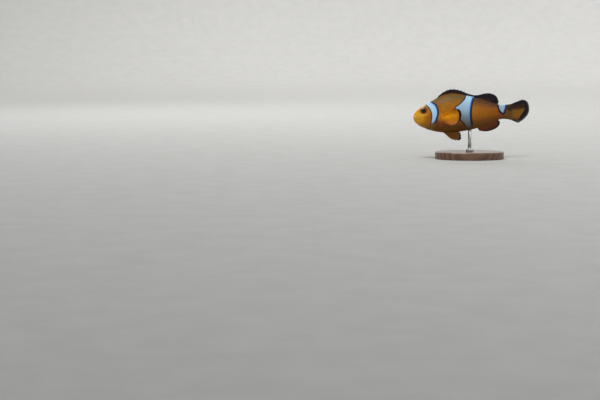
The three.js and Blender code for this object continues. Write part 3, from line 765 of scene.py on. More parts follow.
ROW_RATE = 1.06
COLUMN_RATE = 0.93
SCALE_THICKNESS = 0.024
ROOT_LIFT = -0.014
EDGE_LIFT = 0.05
SCALE_TILT = 0.012
SCALE_CREASE = math.radians(40)
SCALE_SIZE = [(5, 0.46), (12, 0.58), (18, 0.82), (28, 0.96), (45, 0.84), (56, 0.68), (66, 0.54),
              (70, 0.5)]
SCALES_START, SCALES_STOP = 6.0, SKIN_END - 0.75
SCALE_JITTER, ROW_JITTER, TURN_JITTER, LIFT_JITTER = 0.035, 0.03, 0.05, 0.004
PORED_FROM, PORED_TO = 15, 55
SCALE_ROWS = (0, 0.4, 0.75, 1)
SCALE_COLUMNS = 5
SCALES_FROM = [(-11, 9.0), (-7, 8.2), (-4, 7.2), (-1, 6.4), (1, 6.6), (2.5, 8.6), (4.5, 10.0),
               (6.5, 9.0), (8, 7.2), (10, 6.6), (16, 6.6)]
LATERAL_LINE = [(14, 8.2), (20, 10.4), (28, 11.6), (38, 10.6), (48, 8.6), (54, 7.4)]
GILL_BESIDE = 9.0
MAP_PATCH = 0.003
scale_size = spline(SCALE_SIZE)
scales_from = spline(SCALES_FROM)
lateral_line = spline(LATERAL_LINE)


def scale_roots(side, random):
    """Each scale's behind, angle, size and mm to the radian, in rows that follow the body's middle line.
    Every other ring of scales is moved by half a row."""
    found = []
    behind = SCALES_START
    odd = 0
    while behind < SCALES_STOP:
        size = float(scale_size(behind))
        angles = np.linspace(0.02, math.pi - 0.02, 260)
        line = outside(np.full_like(angles, behind), angles)
        arc = np.concatenate([[0], np.cumsum(np.linalg.norm(np.diff(line, axis=0), axis=1))])
        arc -= np.interp(math.pi / 2, angles, arc)
        rows = (np.arange(-30, 31) + 0.5 * odd) * (ROW_RATE * size)
        margin = lerp(0.1, 0.45, float(ease(behind, 62, 65)))
        rows = rows[(rows > arc[0] + margin) & (rows < arc[-1] - margin)]
        at = np.interp(rows, arc, angles)
        rate = np.interp(rows, (arc[1:] + arc[:-1]) / 2, np.diff(arc) / np.diff(angles))
        found += [(behind, angle, size, max(per_radian, 0.5)) for angle, per_radian in zip(at, rate)]
        behind += COLUMN_RATE * size
        odd = 1 - odd
    found = np.array(found)
    found[:, 0] += random.normal(0, SCALE_JITTER, len(found))
    found[:, 1] += random.normal(0, ROW_JITTER, len(found)) / found[:, 3]
    if side < 0:
        found[:, 1] = 2 * math.pi - found[:, 1]
    return found


def scale_strength(behind, angle):
    """0 on the bare snout, jaw and skin round the eyes, and 1 where the scales stand out fully."""
    side, up = section(behind, angle)
    off = off_eye_axis(place(behind, side, up))
    return np.minimum(ease(off, 2.9, 4.6), ease(behind - scales_from(up), 0, 3.5))


def stop_at_gill(behind, up, ahead):
    """Keeps scales from crossing the gill cover's free edge, before or behind it."""
    edge = gill_opening(up)
    stopped = np.where(ahead, np.minimum(behind, edge - 0.02), np.maximum(behind, edge + 0.26))
    return np.where(np.abs(up) < GILL_BESIDE, stopped, behind)


def scale_surface(side, roots, strength, p, q, random):
    """Behind, angle and height over the skin of every scale's points.

    p runs from a scale's root (0) to its free edge (1), and q across it from -1 to 1."""
    behind, angle, size, per_radian = roots.T[:, :, None, None]
    _, root_up = section(behind, angle)
    turn = random.normal(0, TURN_JITTER, (len(roots), 1, 1))
    edge_shape = 1.02 - 0.66 * np.abs(q) ** 2.2
    long = lerp(-0.85, edge_shape, p) * COLUMN_RATE * size * lerp(0.75, 1, strength)
    wide = q * 0.59 * ROW_RATE * size * lerp(0.85, 1.0, p) * lerp(0.8, 1, strength)
    pored = hump(root_up, lateral_line(behind), 0.5) * (behind > PORED_FROM) * (behind < PORED_TO)
    tube = 0.06 * pored * hump(q, 0, 0.3) * ease(p, 0.25, 0.5)
    lift = lerp(ROOT_LIFT, EDGE_LIFT * lerp(0.1, 1, strength), p) + tube
    lift = lift + (SCALE_TILT * q + random.normal(0, LIFT_JITTER, (len(roots), 1, 1))) * p
    b = np.clip(behind + long - wide * turn, 0.5, SKIN_END + 0.1)
    a = angle + side * (wide + long * turn) / per_radian
    _, up = section(b, a)
    return stop_at_gill(b, up, behind < gill_opening(root_up)), a, lift


def on_both_faces(value, shape):
    whole = np.broadcast_to(value, shape)
    return np.stack([whole, whole], 1)


def scale_map(side, roots, p, q):
    """Each scale's patch of the map, at its root's place on the flank laid flat from back to belly."""
    behind, angle = roots.T[:2, :, None, None]
    from_back = angle if side > 0 else 2 * math.pi - angle
    u = 0.03 + 0.94 * behind / (SKIN_END + 1) + MAP_PATCH * (p - 0.5)
    v = 0.02 + 0.96 * from_back / math.pi + MAP_PATCH * (q / 2)
    return np.stack([on_both_faces(x, u.shape) for x in (u, v)], -1).reshape(-1, 2)


def scales(side):
    """Points, faces, values and map places of all the scales on one side."""
    random = np.random.default_rng(SEED + side)
    roots = scale_roots(side, random)
    strength = scale_strength(roots[:, 0], roots[:, 1])
    grown = strength > 0.02 + 0.1 * random.random(len(roots))
    roots, strength = roots[grown], strength[grown, None, None]
    p, q = np.meshgrid(SCALE_ROWS, np.linspace(-1, 1, SCALE_COLUMNS), indexing="ij")
    b, a, lift = scale_surface(side, roots, strength, p, q, random)
    layers = [skin_point(b, a, lift), skin_point(b, a, lift - SCALE_THICKNESS)]
    shape = sheet_faces(*p.shape, corner=1)[:, ::-side]  # turned over on the left, so that it faces out
    faces = (shape + (np.arange(len(roots)) * 2 * p.size)[:, None, None]).reshape(-1, 4)
    values = body_values(b, *section(b, a))
    values |= {"tint": random.random((len(roots), 1, 1)), "edge": p, "across": q, "strength": strength}
    values = {key: on_both_faces(value, b.shape) for key, value in values.items()}
    return np.stack(layers, 1).reshape(-1, 3), faces, values, scale_map(side, roots, p, q)


def add_bake_map(mesh, places):
    layer = mesh.uv_layers.new(name="OFBake")
    corners = np.empty(len(mesh.loops), np.int32)
    mesh.loops.foreach_get("vertex_index", corners)
    layer.data.foreach_set("uv", places[corners].astype(np.float32).ravel())


# ---- materials


class Look:
    """A material's node tree, built by short calls that return output sockets."""

    def __init__(self, name):
        self.material = bpy.data.materials.new(name)
        self.material.use_nodes = True
        self.tree = self.material.node_tree
        self.shader = self.tree.nodes["Principled BSDF"]

    def set(self, **inputs):
        """Fills the shader's own sockets: a plain value, or a link."""
        for key, value in inputs.items():
            self.fill(self.shader.inputs[key.replace("_", " ")], value)

    def fill(self, socket, value):
        if isinstance(value, bpy.types.NodeSocket):
            self.tree.links.new(value, socket)
        else:
            socket.default_value = value

    def node(self, kind, settings=(), **inputs):
        made = self.tree.nodes.new(kind)
        for key, value in dict(settings).items():
            setattr(made, key, value)
        for key, value in inputs.items():
            self.fill(made.inputs[key.replace("_", " ")], value)
        return made

    def value(self, name):
        """One of the values that the mesh carries."""
        return self.node("ShaderNodeAttribute", {"attribute_name": name}).outputs["Fac"]

    def where(self):
        return self.node("ShaderNodeTexCoord").outputs["Object"]

    def math(self, operation, *values):
        made = self.node("ShaderNodeMath", {"operation": operation})
        for socket, value in zip(made.inputs, values):
            self.fill(socket, value)
        return made.outputs[0]

    def times(self, a, b):
        return self.math("MULTIPLY", a, b)

    def plus(self, a, b):
        return self.math("ADD", a, b)

    def ease(self, value, low, high, bottom=0.0, top=1.0):
        made = self.node("ShaderNodeMapRange", {"interpolation_type": "SMOOTHSTEP"}, Value=value)
        for key, number in (("From Min", low), ("From Max", high), ("To Min", bottom), ("To Max", top)):
            self.fill(made.inputs[key], number)
        return made.outputs[0]

    def mix(self, share, low, high, blend="MIX"):
        made = self.node("ShaderNodeMix", {"data_type": "RGBA", "blend_type": blend})
        self.fill(made.inputs[0], share)
        for socket, colour in ((made.inputs[6], low), (made.inputs[7], high)):
            self.fill(socket, colour if isinstance(colour, bpy.types.NodeSocket) else (*colour, 1))
        return made.outputs[2]

    def blend(self, value, start, end, low, high, most=1.0, how="MIX"):
        """From one colour towards another as a value runs from start to end."""
        return self.mix(self.ease(value, start, end, 0.0, most), low, high, how)

    def tinge(self, name, strength, low, high):
        """Mixes in a colour by one of the mesh's values."""
        return self.mix(self.times(self.value(name), strength), low, high)

    def noise(self, scale, detail=3.0, roughness=0.5, vector=None):
        made = self.node("ShaderNodeTexNoise", Scale=scale, Detail=detail, Roughness=roughness,
                         Vector=vector or self.where())
        return made.outputs["Fac"]

    def stretched(self, *scale):
        """Places drawn out along one axis, for a grain that runs along it."""
        return self.node("ShaderNodeMapping", Vector=self.where(), Scale=scale).outputs[0]

    def finish(self, colour, rough, relief, strength, distance, **more):
        """Sets the shader's colour, roughness, bump and what else is given, and returns the material."""
        bump = self.node("ShaderNodeBump", Height=relief, Strength=strength, Distance=distance)
        self.set(Base_Color=colour, Roughness=rough, Normal=bump.outputs[0], **more)
        return self.material


def subsurface(weight, red, green, blue=0.0002):
    """Light that goes a little way into the flesh, red furthest, in metres."""
    return {"Subsurface_Weight": weight, "Subsurface_Radius": (red, green, blue), "Subsurface_Scale": 1.0}


# Linear colours.
ORANGE = (0.47, 0.175, 0.010)
DEEP_ORANGE = (0.34, 0.085, 0.008)
# This olive is painted shade on the lower flank and belly.
OLIVE = (0.142, 0.060, 0.009)
REAR_ORANGE = (0.30, 0.082, 0.006)
BACK_ORANGE = (0.155, 0.090, 0.018)
BACK_OLIVE = (0.075, 0.044, 0.016)
YELLOW = (0.68, 0.33, 0.011)
CHEEK = (0.42, 0.150, 0.008)
# This chin colour is painted shade under the head.
CHIN_SHADE = (0.24, 0.15, 0.04)
LIP_PALE = (0.78, 0.50, 0.16)
WHITE = (0.46, 0.68, 0.90)
BLUE_WHITE = (0.29, 0.54, 0.84)
# The bars grey towards this lower down, partly as painted shade.
SHADE_WHITE = (0.12, 0.10, 0.075)
EDGE_BLUE = (0.020, 0.070, 0.30)
INK = (0.008, 0.009, 0.015)
# This red is partly painted shade below the pectoral fin's root.
BLUSH_AND_SHADE = (0.38, 0.048, 0.026)
DUSK = (0.26, 0.10, 0.012)
TAIL_GOLD = (0.120, 0.068, 0.010)
FIN_ORANGE = (0.98, 0.375, 0.003)
FIN_BROWN = (0.019, 0.013, 0.010)
FIN_PALE = (0.15, 0.18, 0.20)
RAY_PALE = (0.80, 0.32, 0.02)
# This bright orange is partly painted light at the pectoral fin's root.
FIN_PAD = (0.74, 0.30, 0.012)
# Painted shadow colour for the mouth's slit, the nostril and the gill opening.
GROOVE_SHADOW = (0.05, 0.018, 0.008)
ORBIT_BROWN = (0.14, 0.058, 0.012)
WHITE_TINT = (0.72, 0.80, 0.90)
BRIM_ORANGE = (0.25, 0.08, 0.01)
BRIM_WHITE = (0.60, 0.68, 0.80)
IRIS_DARK, IRIS_LIGHT, IRIS_RIM = (0.028, 0.011, 0.004), (0.20, 0.066, 0.009), (0.075, 0.030, 0.008)
IRIS_GOLD, PUPIL_BLACK = (0.46, 0.20, 0.03), (0.004, 0.005, 0.007)
WOOD_DARK, WOOD_LIGHT, WOOD_FIBRE = (0.085, 0.040, 0.020), (0.17, 0.085, 0.042), (0.05, 0.024, 0.013)
STEEL_DARK, STEEL_LIGHT = (0.50, 0.50, 0.51), (0.66, 0.66, 0.67)
PAPER_DARK, PAPER_LIGHT, PAPER_WALL = (0.41, 0.41, 0.405), (0.43, 0.43, 0.425), (0.84, 0.84, 0.83)


def flank_colour(look, mottle):
    """Orange, olive along the back, browner to the rear, yellow on the snout, and painted shade: an
    olive-dark lower flank and belly and a darker underside to the head.
    """
    behind, height = look.value("behind"), look.value("height")
    flank = look.blend(behind, 34, 56, ORANGE, REAR_ORANGE, 0.9)
    # Painted shade: the lower flank turns olive-dark towards the belly.
    flank = look.blend(height, 0.52, 0.12, flank, OLIVE, 0.9)
    ridge = look.blend(behind, 30, 46, BACK_ORANGE, BACK_OLIVE)
    flank = look.blend(height, 0.62, 0.96, flank, ridge)
    rear = look.blend(height, 0.5, 0.68, TAIL_GOLD, FIN_BROWN, 0.88)
    flank = look.blend(behind, 60.5, 65.0, flank, rear)
    near = look.plus(behind, look.times(mottle, 3.0))
    cheek = look.blend(near, 16.5, 11.5, flank, CHEEK)
    snout = look.blend(near, 11.0, 4.5, cheek, YELLOW)
    # Painted shade: the underside of the head darkens towards a dull olive.
    under = look.times(look.ease(height, 0.28, 0.02, 0.0, 0.8), look.ease(behind, 3.0, 6.0))
    return look.mix(look.times(under, look.ease(behind, 16.0, 12.0)), snout, CHIN_SHADE)


def bar_colour(look, warm):
    """The white bars and their blue-black edges over the body's colour, and how white it is."""
    fine = look.noise(1400, 2, 0.5)
    ragged = look.plus(look.value("bar"), look.times(look.math("SUBTRACT", fine, 0.5), 0.2))
    reach = look.math("DIVIDE", ragged, look.value("black"))
    edged = look.mix(look.times(look.ease(reach, -1.35, -0.9), look.value("black_edge_strength")), warm, INK)
    # Mixes in black for the tail root's underside and for the painted shade patches on the body.
    edged = look.tinge("black_and_shade", 0.9, edged, INK)
    clear, blue = look.value("whiteness"), look.value("blue")
    share = look.times(look.times(look.ease(reach, -0.9, -0.3), blue), clear)
    edged = look.mix(share, edged, EDGE_BLUE)
    inner = look.plus(ragged, look.times(look.math("SUBTRACT", 1.0, blue), 1.2))
    white = look.blend(inner, 0.1, 1.5, BLUE_WHITE, WHITE)
    # Where a bar's whiteness falls, lower down, its white greys: partly the bar's own colour, partly
    # painted shade.
    white = look.mix(clear, SHADE_WHITE, white)
    share = look.times(look.ease(ragged, -0.06, 0.26), look.ease(clear, 0.0, 0.06))
    return look.mix(share, edged, white), share


def body_colour(look):
    """The body's colour with all its markings, and how white it is."""
    mottle = look.noise(260, 4, 0.55)
    dusky = look.tinge("dusk", 0.6, flank_colour(look, mottle), DUSK)
    lips = look.tinge("lips", 0.75, dusky, LIP_PALE)
    warm = look.blend(mottle, 0.4, 0.68, lips, DEEP_ORANGE, 0.2)
    # A reddish tone behind the head bar, and painted reddish shade below the pectoral fin's root.
    warm = look.tinge("blush_and_shade", 0.5, warm, BLUSH_AND_SHADE)
    # Bright orange at the pectoral fin's root, partly painted light.
    return bar_colour(look, look.mix(look.value("pad"), warm, FIN_PAD))


def skin_look():
    look = Look("clownfish_skin")
    colour, _ = body_colour(look)
    # Painted shadow in the mouth's slit, the nostril's pit and the gill opening.
    colour = look.tinge("groove_shadow", 0.9, colour, GROOVE_SHADOW)
    colour = look.tinge("orbit", 0.8, colour, ORBIT_BROWN)
    pores = look.noise(2600, 3, 0.6)
    freckles = look.noise(5200, 2, 0.5)
    colour = look.blend(freckles, 0.6, 0.72, colour, DEEP_ORANGE, 0.25, "MULTIPLY")
    return look.finish(colour, look.ease(pores, 0.3, 0.7, 0.4, 0.54), pores, 0.4, 0.00007,
                       Specular_IOR_Level=0.17, Coat_Weight=0.03, Coat_Roughness=0.2,
                       **subsurface(0.1, 0.0012, 0.0004))


def scale_look():
    look = Look("clownfish_scales")
    colour, white = body_colour(look)
    edge, across = look.value("edge"), look.value("across")
    tinting = look.mix(white, DEEP_ORANGE, WHITE_TINT)
    colour = look.blend(look.value("tint"), 0, 1, colour, tinting, 0.16, "MULTIPLY")
    out = look.plus(edge, look.times(look.times(across, across), 0.12))
    brim = look.times(look.ease(out, 0.84, 1.02, 0.0, 0.22), look.value("strength"))
    colour = look.mix(brim, colour, look.mix(white, BRIM_ORANGE, BRIM_WHITE), "MULTIPLY")
    ridges = look.math("SINE", look.times(out, 42.0))
    spokes = look.math("SINE", look.times(across, 16.0))
    growth = look.plus(look.times(ridges, 0.5), look.times(spokes, 0.3))
    return look.finish(colour, look.ease(growth, -0.8, 0.8, 0.4, 0.52), growth, 0.3, 0.00001,
                       Specular_IOR_Level=0.13, Coat_Weight=0.015, Coat_Roughness=0.25,
                       **subsurface(0.08, 0.001, 0.0003))


def fin_look():
    look = Look("clownfish_fins")
    tone, ridge, out = look.value("tone"), look.value("ridge"), look.value("out")
    mottle = look.noise(420, 3, 0.55)
    base = look.mix(look.value("warmth"), REAR_ORANGE, FIN_ORANGE)
    base = look.mix(look.value("gold"), base, TAIL_GOLD)
    base = look.mix(tone, base, FIN_BROWN)
    plain = look.math("SUBTRACT", 1.0, tone)
    base = look.mix(look.times(look.ease(mottle, 0.4, 0.7, 0.0, 0.25), plain), base, DEEP_ORANGE)
    lightness = look.times(plain, look.ease(out, 0.1, 0.7, 0.04, 0.2))
    rayed = look.mix(look.times(ridge, lightness), base, RAY_PALE)
    ragged = look.plus(look.value("ink"), look.times(look.math("SUBTRACT", mottle, 0.5), 0.3))
    inked = look.blend(ragged, 0.15, 0.85, rayed, INK)
    rimmed = look.mix(look.value("white"), look.mix(look.value("pale"), inked, FIN_PALE), WHITE)
    joints = look.math("SINE", look.times(look.value("reach"), 17.0))
    jointed = look.times(look.times(joints, ridge), look.ease(out, 0.15, 0.4))
    grain = look.noise(1900, 2, 0.5)
    return look.finish(rimmed, look.ease(grain, 0.3, 0.7, 0.42, 0.56),
                       look.plus(look.times(jointed, 0.5), grain), 0.4, 0.00003,
                       Specular_IOR_Level=0.11, **subsurface(0.12, 0.0008, 0.0003))


def eye_look():
    look = Look("clownfish_eye")
    ring, turn = look.value("ring"), look.value("turn")
    spokes = look.node("ShaderNodeCombineXYZ", X=look.times(turn, 11.0), Y=look.times(ring, 1.6))
    streak = look.noise(4.0, 4, 0.6, spokes.outputs[0])
    iris = look.blend(streak, 0.4, 0.72, IRIS_DARK, IRIS_LIGHT)
    iris = look.blend(ring, 0.70, 0.90, iris, IRIS_RIM)
    gold = look.blend(ring, 0.635, 0.60, iris, IRIS_GOLD, 0.8)
    pupil = look.blend(ring, 0.585, 0.565, gold, PUPIL_BLACK)
    fibres = look.times(streak, look.ease(ring, 0.6, 0.64))
    return look.finish(pupil, look.ease(fibres, 0, 1, 0.25, 0.4), fibres, 0.3, 0.00004,
                       Specular_IOR_Level=0.15)


def cornea_look():
    """Clear as water: it only reflects, and lets light and sight through."""
    look = Look("clownfish_cornea")
    film = look.ease(look.noise(700, 2, 0.5), 0.3, 0.7, 0.02, 0.05)
    clear = look.node("ShaderNodeBsdfTransparent")
    gloss = look.node("ShaderNodeBsdfGlossy", Color=(0.95, 0.97, 1.0, 1), Roughness=film)
    fresnel = look.node("ShaderNodeFresnel", IOR=1.17)
    both = look.node("ShaderNodeMixShader", Fac=fresnel.outputs[0])
    look.fill(both.inputs[1], clear.outputs[0])
    look.fill(both.inputs[2], gloss.outputs[0])
    look.tree.nodes.remove(look.shader)
    look.fill(look.tree.nodes["Material Output"].inputs["Surface"], both.outputs[0])
    return look.material


def wood_look():
    look = Look("stand_wood")
    along = look.stretched(1.0, 0.09, 1.0)
    rings = look.node("ShaderNodeTexWave", {"wave_type": "RINGS", "rings_direction": "Y"}, Vector=along,
                      Scale=150.0, Distortion=5.0, Detail=4.0, Detail_Scale=1.6).outputs["Fac"]
    fibre = look.noise(2600, 4, 0.6, along)
    colour = look.blend(rings, 0.15, 0.85, WOOD_DARK, WOOD_LIGHT)
    colour = look.blend(fibre, 0.35, 0.7, colour, WOOD_FIBRE, 0.5)
    return look.finish(colour, look.ease(fibre, 0.3, 0.7, 0.28, 0.42), fibre, 0.2, 0.00008,
                       Coat_Weight=0.35, Coat_Roughness=0.12)


def steel_look():
    look = Look("stand_steel")
    brush = look.noise(900, 4, 0.6, look.stretched(1.0, 1.0, 14.0))
    colour = look.blend(brush, 0.3, 0.7, STEEL_DARK, STEEL_LIGHT)
    return look.finish(colour, look.ease(brush, 0.3, 0.7, 0.22, 0.38), brush, 0.15, 0.00003, Metallic=1.0)


def stage_look():
    look = Look("stage_paper")
    grain = look.noise(60, 3, 0.5)
    rise = look.node("ShaderNodeSeparateXYZ", Vector=look.where()).outputs["Z"]
    colour = look.blend(grain, 0.3, 0.7, PAPER_DARK, PAPER_LIGHT)
    colour = look.blend(rise, 0.13, 0.52, colour, PAPER_WALL)
    look.set(Base_Color=colour, Roughness=look.ease(grain, 0.3, 0.7, 0.8, 0.9), Specular_IOR_Level=0.0)
    return look.material


# ---- pieces

FLESH = ("head", "lower_jaw", "gill_cover_left", "gill_cover_right", "trunk", "tail_base")
FINS = ("dorsal_fin_spiny", "dorsal_fin_soft", "anal_fin", "tail_fin", "pectoral_fin_left",
        "pectoral_fin_right", "pelvic_fin_left", "pelvic_fin_right")


def add_skin():
    """One skin for the body and all its fins."""
    points, faces, values = body_skin()
    fins = [dorsal_fin(), anal_fin(), tail_fin()]
    fins += [make(side) for make in (pectoral_fin, pelvic_fin) for side in (1, -1)]
    body_faces, parts = len(faces), [points]
    whole = {key: [values.get(key, np.zeros(len(points)))] for key in [*values, *fins[0][2]]}
    for fin_points, fin_faces, fin_data in fins:
        faces += (fin_faces + sum(map(len, parts))).tolist()
        parts.append(fin_points)
        for key, found in whole.items():
            found.append(fin_data.get(key, np.zeros(len(fin_points))))
    whole = {key: np.concatenate(found) for key, found in whole.items()}
    skin = make_piece("skin", np.vstack(parts), faces, skin_look(), whole, FLESH + FINS)
    skin.data.materials.append(fin_look())
    on_fins = np.arange(len(faces)) >= body_faces
    skin.data.polygons.foreach_set("material_index", on_fins.astype(np.int32))


def add_scales():
    material = scale_look()
    for name, side in (("left", 1), ("right", -1)):
        points, faces, values, places = scales(side)
        piece = make_piece(f"scales_{name}", points, faces.tolist(), material, values)
        piece.data.set_sharp_from_angle(angle=SCALE_CREASE)
        add_bake_map(piece.data, places)


IRIS_RADIUS = 1.98
PUPIL_RADIUS = 1.2
PUPIL_HEIGHT = 0.9
LENS_RISE = 0.42
CORNEA_THICKNESS = 0.06
EYE_FULLNESS, EYE_ROUNDNESS = 2.6, 0.45
EYE_SIDES = 80


def eye_dome(radius):
    """Height of the eye's outer surface along the line of sight, a little fuller than an ellipsoid."""
    share = np.clip(radius / EYE_RADIUS, 0, 1)
    return EYE_HALF_DEPTH * (1 - share**EYE_FULLNESS) ** EYE_ROUNDNESS


def eye_profile(radius):
    """Height of the eyeball's front: an iris that slopes up to the pupil, and the lens's dome in it."""
    limbus = eye_dome(IRIS_RADIUS) - CORNEA_THICKNESS
    inward = np.clip((IRIS_RADIUS - radius) / (IRIS_RADIUS - PUPIL_RADIUS), 0, 1)
    iris = lerp(limbus, PUPIL_HEIGHT, inward)
    lens = iris + LENS_RISE * np.sqrt(np.maximum(1 - (radius / PUPIL_RADIUS) ** 2, 0))
    return np.where(radius > IRIS_RADIUS, eye_dome(radius), lens)


def revolved(centre, look, radius, depth, sides):
    """Points and faces of a closed solid of revolution about a line of sight, from front to rear."""
    right = unit(np.cross([0.0, 0.0, 1.0], look))
    over = np.cross(look, right)
    turn = np.arange(sides) / sides * 2 * math.pi
    spokes = np.cos(turn)[:, None] * right + np.sin(turn)[:, None] * over
    grid = centre + radius[1:-1, None, None] * spokes[None] + depth[1:-1, None, None] * look
    points = np.vstack([grid.reshape(-1, 3), centre + depth[0] * look, centre + depth[-1] * look])
    rows = len(radius) - 2
    faces = [face[::-1] for face in capped_faces(rows, sides)]
    turns = np.append(np.tile(np.abs(turn - math.pi) / math.pi, rows), [0, 0])
    rings = np.append(np.repeat(radius[1:-1] / EYE_RADIUS, sides), [0, 1])
    return points, faces, {"ring": rings, "turn": turns}


def add_eye(name, side, material, clear):
    """The eyeball with its iris and lens, and the clear cornea over them."""
    centre, look = eye_pose(side)
    front = np.concatenate([
        np.linspace(0, PUPIL_RADIUS, 14), np.linspace(PUPIL_RADIUS + 0.03, IRIS_RADIUS, 12),
        np.linspace(IRIS_RADIUS + 0.03, EYE_RADIUS - 0.02, 5),
    ])
    tilt = np.linspace(0, math.pi / 2, 10)[1:]
    radius = np.concatenate([front, (EYE_RADIUS - 0.02) * np.cos(tilt)])
    depth = np.concatenate([eye_profile(front), -(EYE_HALF_DEPTH - 0.02) * np.sin(tilt)])
    points, faces, values = revolved(centre, look, radius, depth, EYE_SIDES)
    values["ring"] = np.where((points - centre) @ look > -0.01, values["ring"], 1.0)
    make_piece(f"eyeball_{name}", points, faces, material, values, (f"eye_{name}",))
    cap = np.linspace(0, EYE_RADIUS - 0.03, 22)
    dome = eye_dome(cap)
    radius = np.concatenate([cap, cap[::-1]])
    depth = np.concatenate([dome, (dome - CORNEA_THICKNESS)[::-1]])
    points, faces, _ = revolved(centre, look, radius, depth, EYE_SIDES)
    make_piece(f"cornea_{name}", points, faces, clear)


def turned(outline, sides, squash=1.0):
    """Points and faces of a solid of revolution about Z, from its outline of (radius, height)."""
    radius, height = np.array(outline[1:-1], float).T
    turn = np.arange(sides) / sides * 2 * math.pi
    x = radius[:, None] * np.cos(turn) * squash
    y = radius[:, None] * np.sin(turn)
    points = np.stack([x, y, height[:, None] + 0 * turn], -1).reshape(-1, 3)
    points = np.vstack([points, [0, 0, outline[0][1]], [0, 0, outline[-1][1]]])
    return points, capped_faces(len(radius), sides)


def rounded(radius, height, edge):
    """The quarter round from a side at radius to a top at height, as (radius, height) points."""
    turns = np.linspace(0, math.pi / 2, 7)
    return [(radius - edge * (1 - math.cos(t)), height - edge * (1 - math.sin(t))) for t in turns]


def add_stand():
    wood, steel = wood_look(), steel_look()
    low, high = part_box("stand_base")
    length, width, top = (high - low)[1] / MM / 2, (high - low)[0] / MM / 2, high[2] / MM
    outline = [(0, 0), (length - 0.9, 0), (length - 0.5, 0), (length - 0.12, 0.12), (length, 0.5)]
    outline += rounded(length, top, 1.1) + [(length - 1.6, top), (length - 2.2, top), (0, top)]
    points, faces = turned(outline, 160, width / length)
    make_piece("stand_base_wood", points, faces, wood, nodes=("stand_base",))
    low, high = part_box("stand_rod")
    radius = (high - low)[0] / MM / 2
    outline = [(0, low[2] / MM), (radius, low[2] / MM), (radius, high[2] / MM), (0, high[2] / MM)]
    points, faces = turned(outline, 64)
    make_piece("stand_rod_steel", points, faces, steel, nodes=("stand_rod",))
    low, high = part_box("stand_collar")
    radius, height = (high - low)[0] / MM / 2, high[2] / MM
    outline = [(0, top - 0.05), (radius, top - 0.05), (radius, top + 0.6)]
    outline += rounded(radius, height, 0.6)[1:]
    outline += [(1.35, height), (1.22, height - 0.15), (0, height - 0.15)]
    points, faces = turned(outline, 96)
    make_piece("stand_collar_steel", points, faces, steel, nodes=("stand_collar",))


# ---- stage, light and camera

# The suns' names, strengths, spreads in radians, colours and places.
SUNS = [("key", 3.7, 0.5, (1.0, 0.985, 0.96), (0.50, -0.32, 1.0)),
        ("fill", 0.8, 1.2, (0.96, 0.98, 1.0), (-0.7, 0.35, 0.55))]
# The soft boxes' names, watts and places.
SOFT_BOXES = [("side_box", 0.9, (0.5, 0.55, 0.45)), ("rear_box", 1.4, (-0.6, -0.3, 0.5))]
SOFT_BOX_SIZE = 0.45
SKY_COLOUR, SKY_STRENGTH = (0.88, 0.94, 1.0, 1), 0.26
LIT_POINT = (0, 0, 0.03)


def add_stage():
    """A pale floor that sweeps up into a backdrop all round, so that no horizon shows."""
    floor, sweep, wall = 1400.0, 500.0, 2600.0
    outline = [(0, 0), (floor * 0.25, 0), (floor * 0.6, 0)]
    turns = np.linspace(0, math.pi / 2, 14)
    outline += [(floor + sweep * math.sin(t), sweep * (1 - math.cos(t))) for t in turns]
    outline += [(floor + sweep, wall), (floor + sweep - 1, wall + 1)]
    points, faces = turned(outline, 96)
    faces = [face[::-1] for face in faces if len(points) - 1 not in face]
    stage = mesh_object("stage", points, faces, stage_look())


def aim(lamp, place_at):
    """Puts a lamp in the scene, turned to the fish."""
    made = bpy.data.objects.new(lamp.name, lamp)
    made.location = place_at
    made.rotation_euler = (Vector(LIT_POINT) - Vector(place_at)).to_track_quat("-Z", "Y").to_euler()
    bpy.context.scene.collection.objects.link(made)


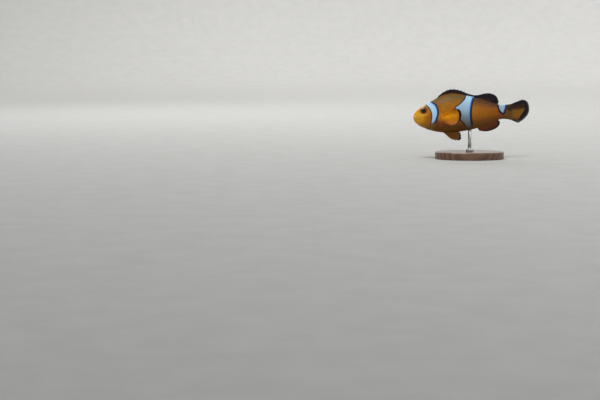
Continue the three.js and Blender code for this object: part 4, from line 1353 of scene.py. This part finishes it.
def add_lights():
    """One broad soft key from above the left flank, a weak fill from the other side, two soft boxes for
    the gloss, and an even pale sky."""
    for name, strength, spread, colour, place_at in SUNS:
        sun = bpy.data.lights.new(name, "SUN")
        sun.energy, sun.angle, sun.color = strength, spread, colour
        aim(sun, place_at)
    for name, watts, place_at in SOFT_BOXES:
        box = bpy.data.lights.new(name, "AREA")
        box.shape, box.size, box.energy = "DISK", SOFT_BOX_SIZE, watts
        aim(box, place_at)
    world = bpy.data.worlds.new("studio")
    world.use_nodes = True
    sky = world.node_tree.nodes["Background"]
    sky.inputs[0].default_value = SKY_COLOUR
    sky.inputs[1].default_value = SKY_STRENGTH
    bpy.context.scene.world = world
    bpy.context.scene.view_settings.view_transform = "Standard"


# The photograph's frame is 600 by 400 pixels. The middle of the fish, 38 mm behind its snout,
# is at this pixel, at this many pixels to the mm.
FRAME_CENTRE = (300, 200)
FISH_PIXEL = (470, 113)
FISH_BEHIND, FISH_UP = 38.0, 2.87
PIXELS_PER_MM = 1.5
LENS, SENSOR, FRAME_WIDTH = 85.0, 36.0, 600
DOWNWARD = math.radians(6.5)


def add_camera():
    """Looks along -X at the fish's left flank, aimed so that the fish lies where the photograph has it."""
    distance = LENS / SENSOR * FRAME_WIDTH / PIXELS_PER_MM
    ahead = Vector((-math.cos(DOWNWARD), 0, -math.sin(DOWNWARD)))
    above = Vector((-math.sin(DOWNWARD), 0, math.cos(DOWNWARD)))
    right = Vector((0, 1, 0))
    fish = Vector(place(FISH_BEHIND, 0.0, FISH_UP))
    across = (FISH_PIXEL[0] - FRAME_CENTRE[0]) / PIXELS_PER_MM
    over = (FRAME_CENTRE[1] - FISH_PIXEL[1]) / PIXELS_PER_MM
    camera = bpy.data.cameras.new("camera")
    camera.lens = LENS
    camera.sensor_width = SENSOR
    camera.clip_start, camera.clip_end = 0.01, 20
    made = bpy.data.objects.new("camera", camera)
    made.location = (fish - ahead * distance - right * across - above * over) * MM
    made.rotation_euler = ahead.to_track_quat("-Z", "Y").to_euler()
    bpy.context.scene.collection.objects.link(made)
    bpy.context.scene.camera = made


def main():
    add_camera()
    add_skin()
    add_scales()
    eye, cornea = eye_look(), cornea_look()
    for name, side in (("left", 1), ("right", -1)):
        add_eye(name, side, eye, cornea)
    add_stand()
    add_stage()
    add_lights()


main()
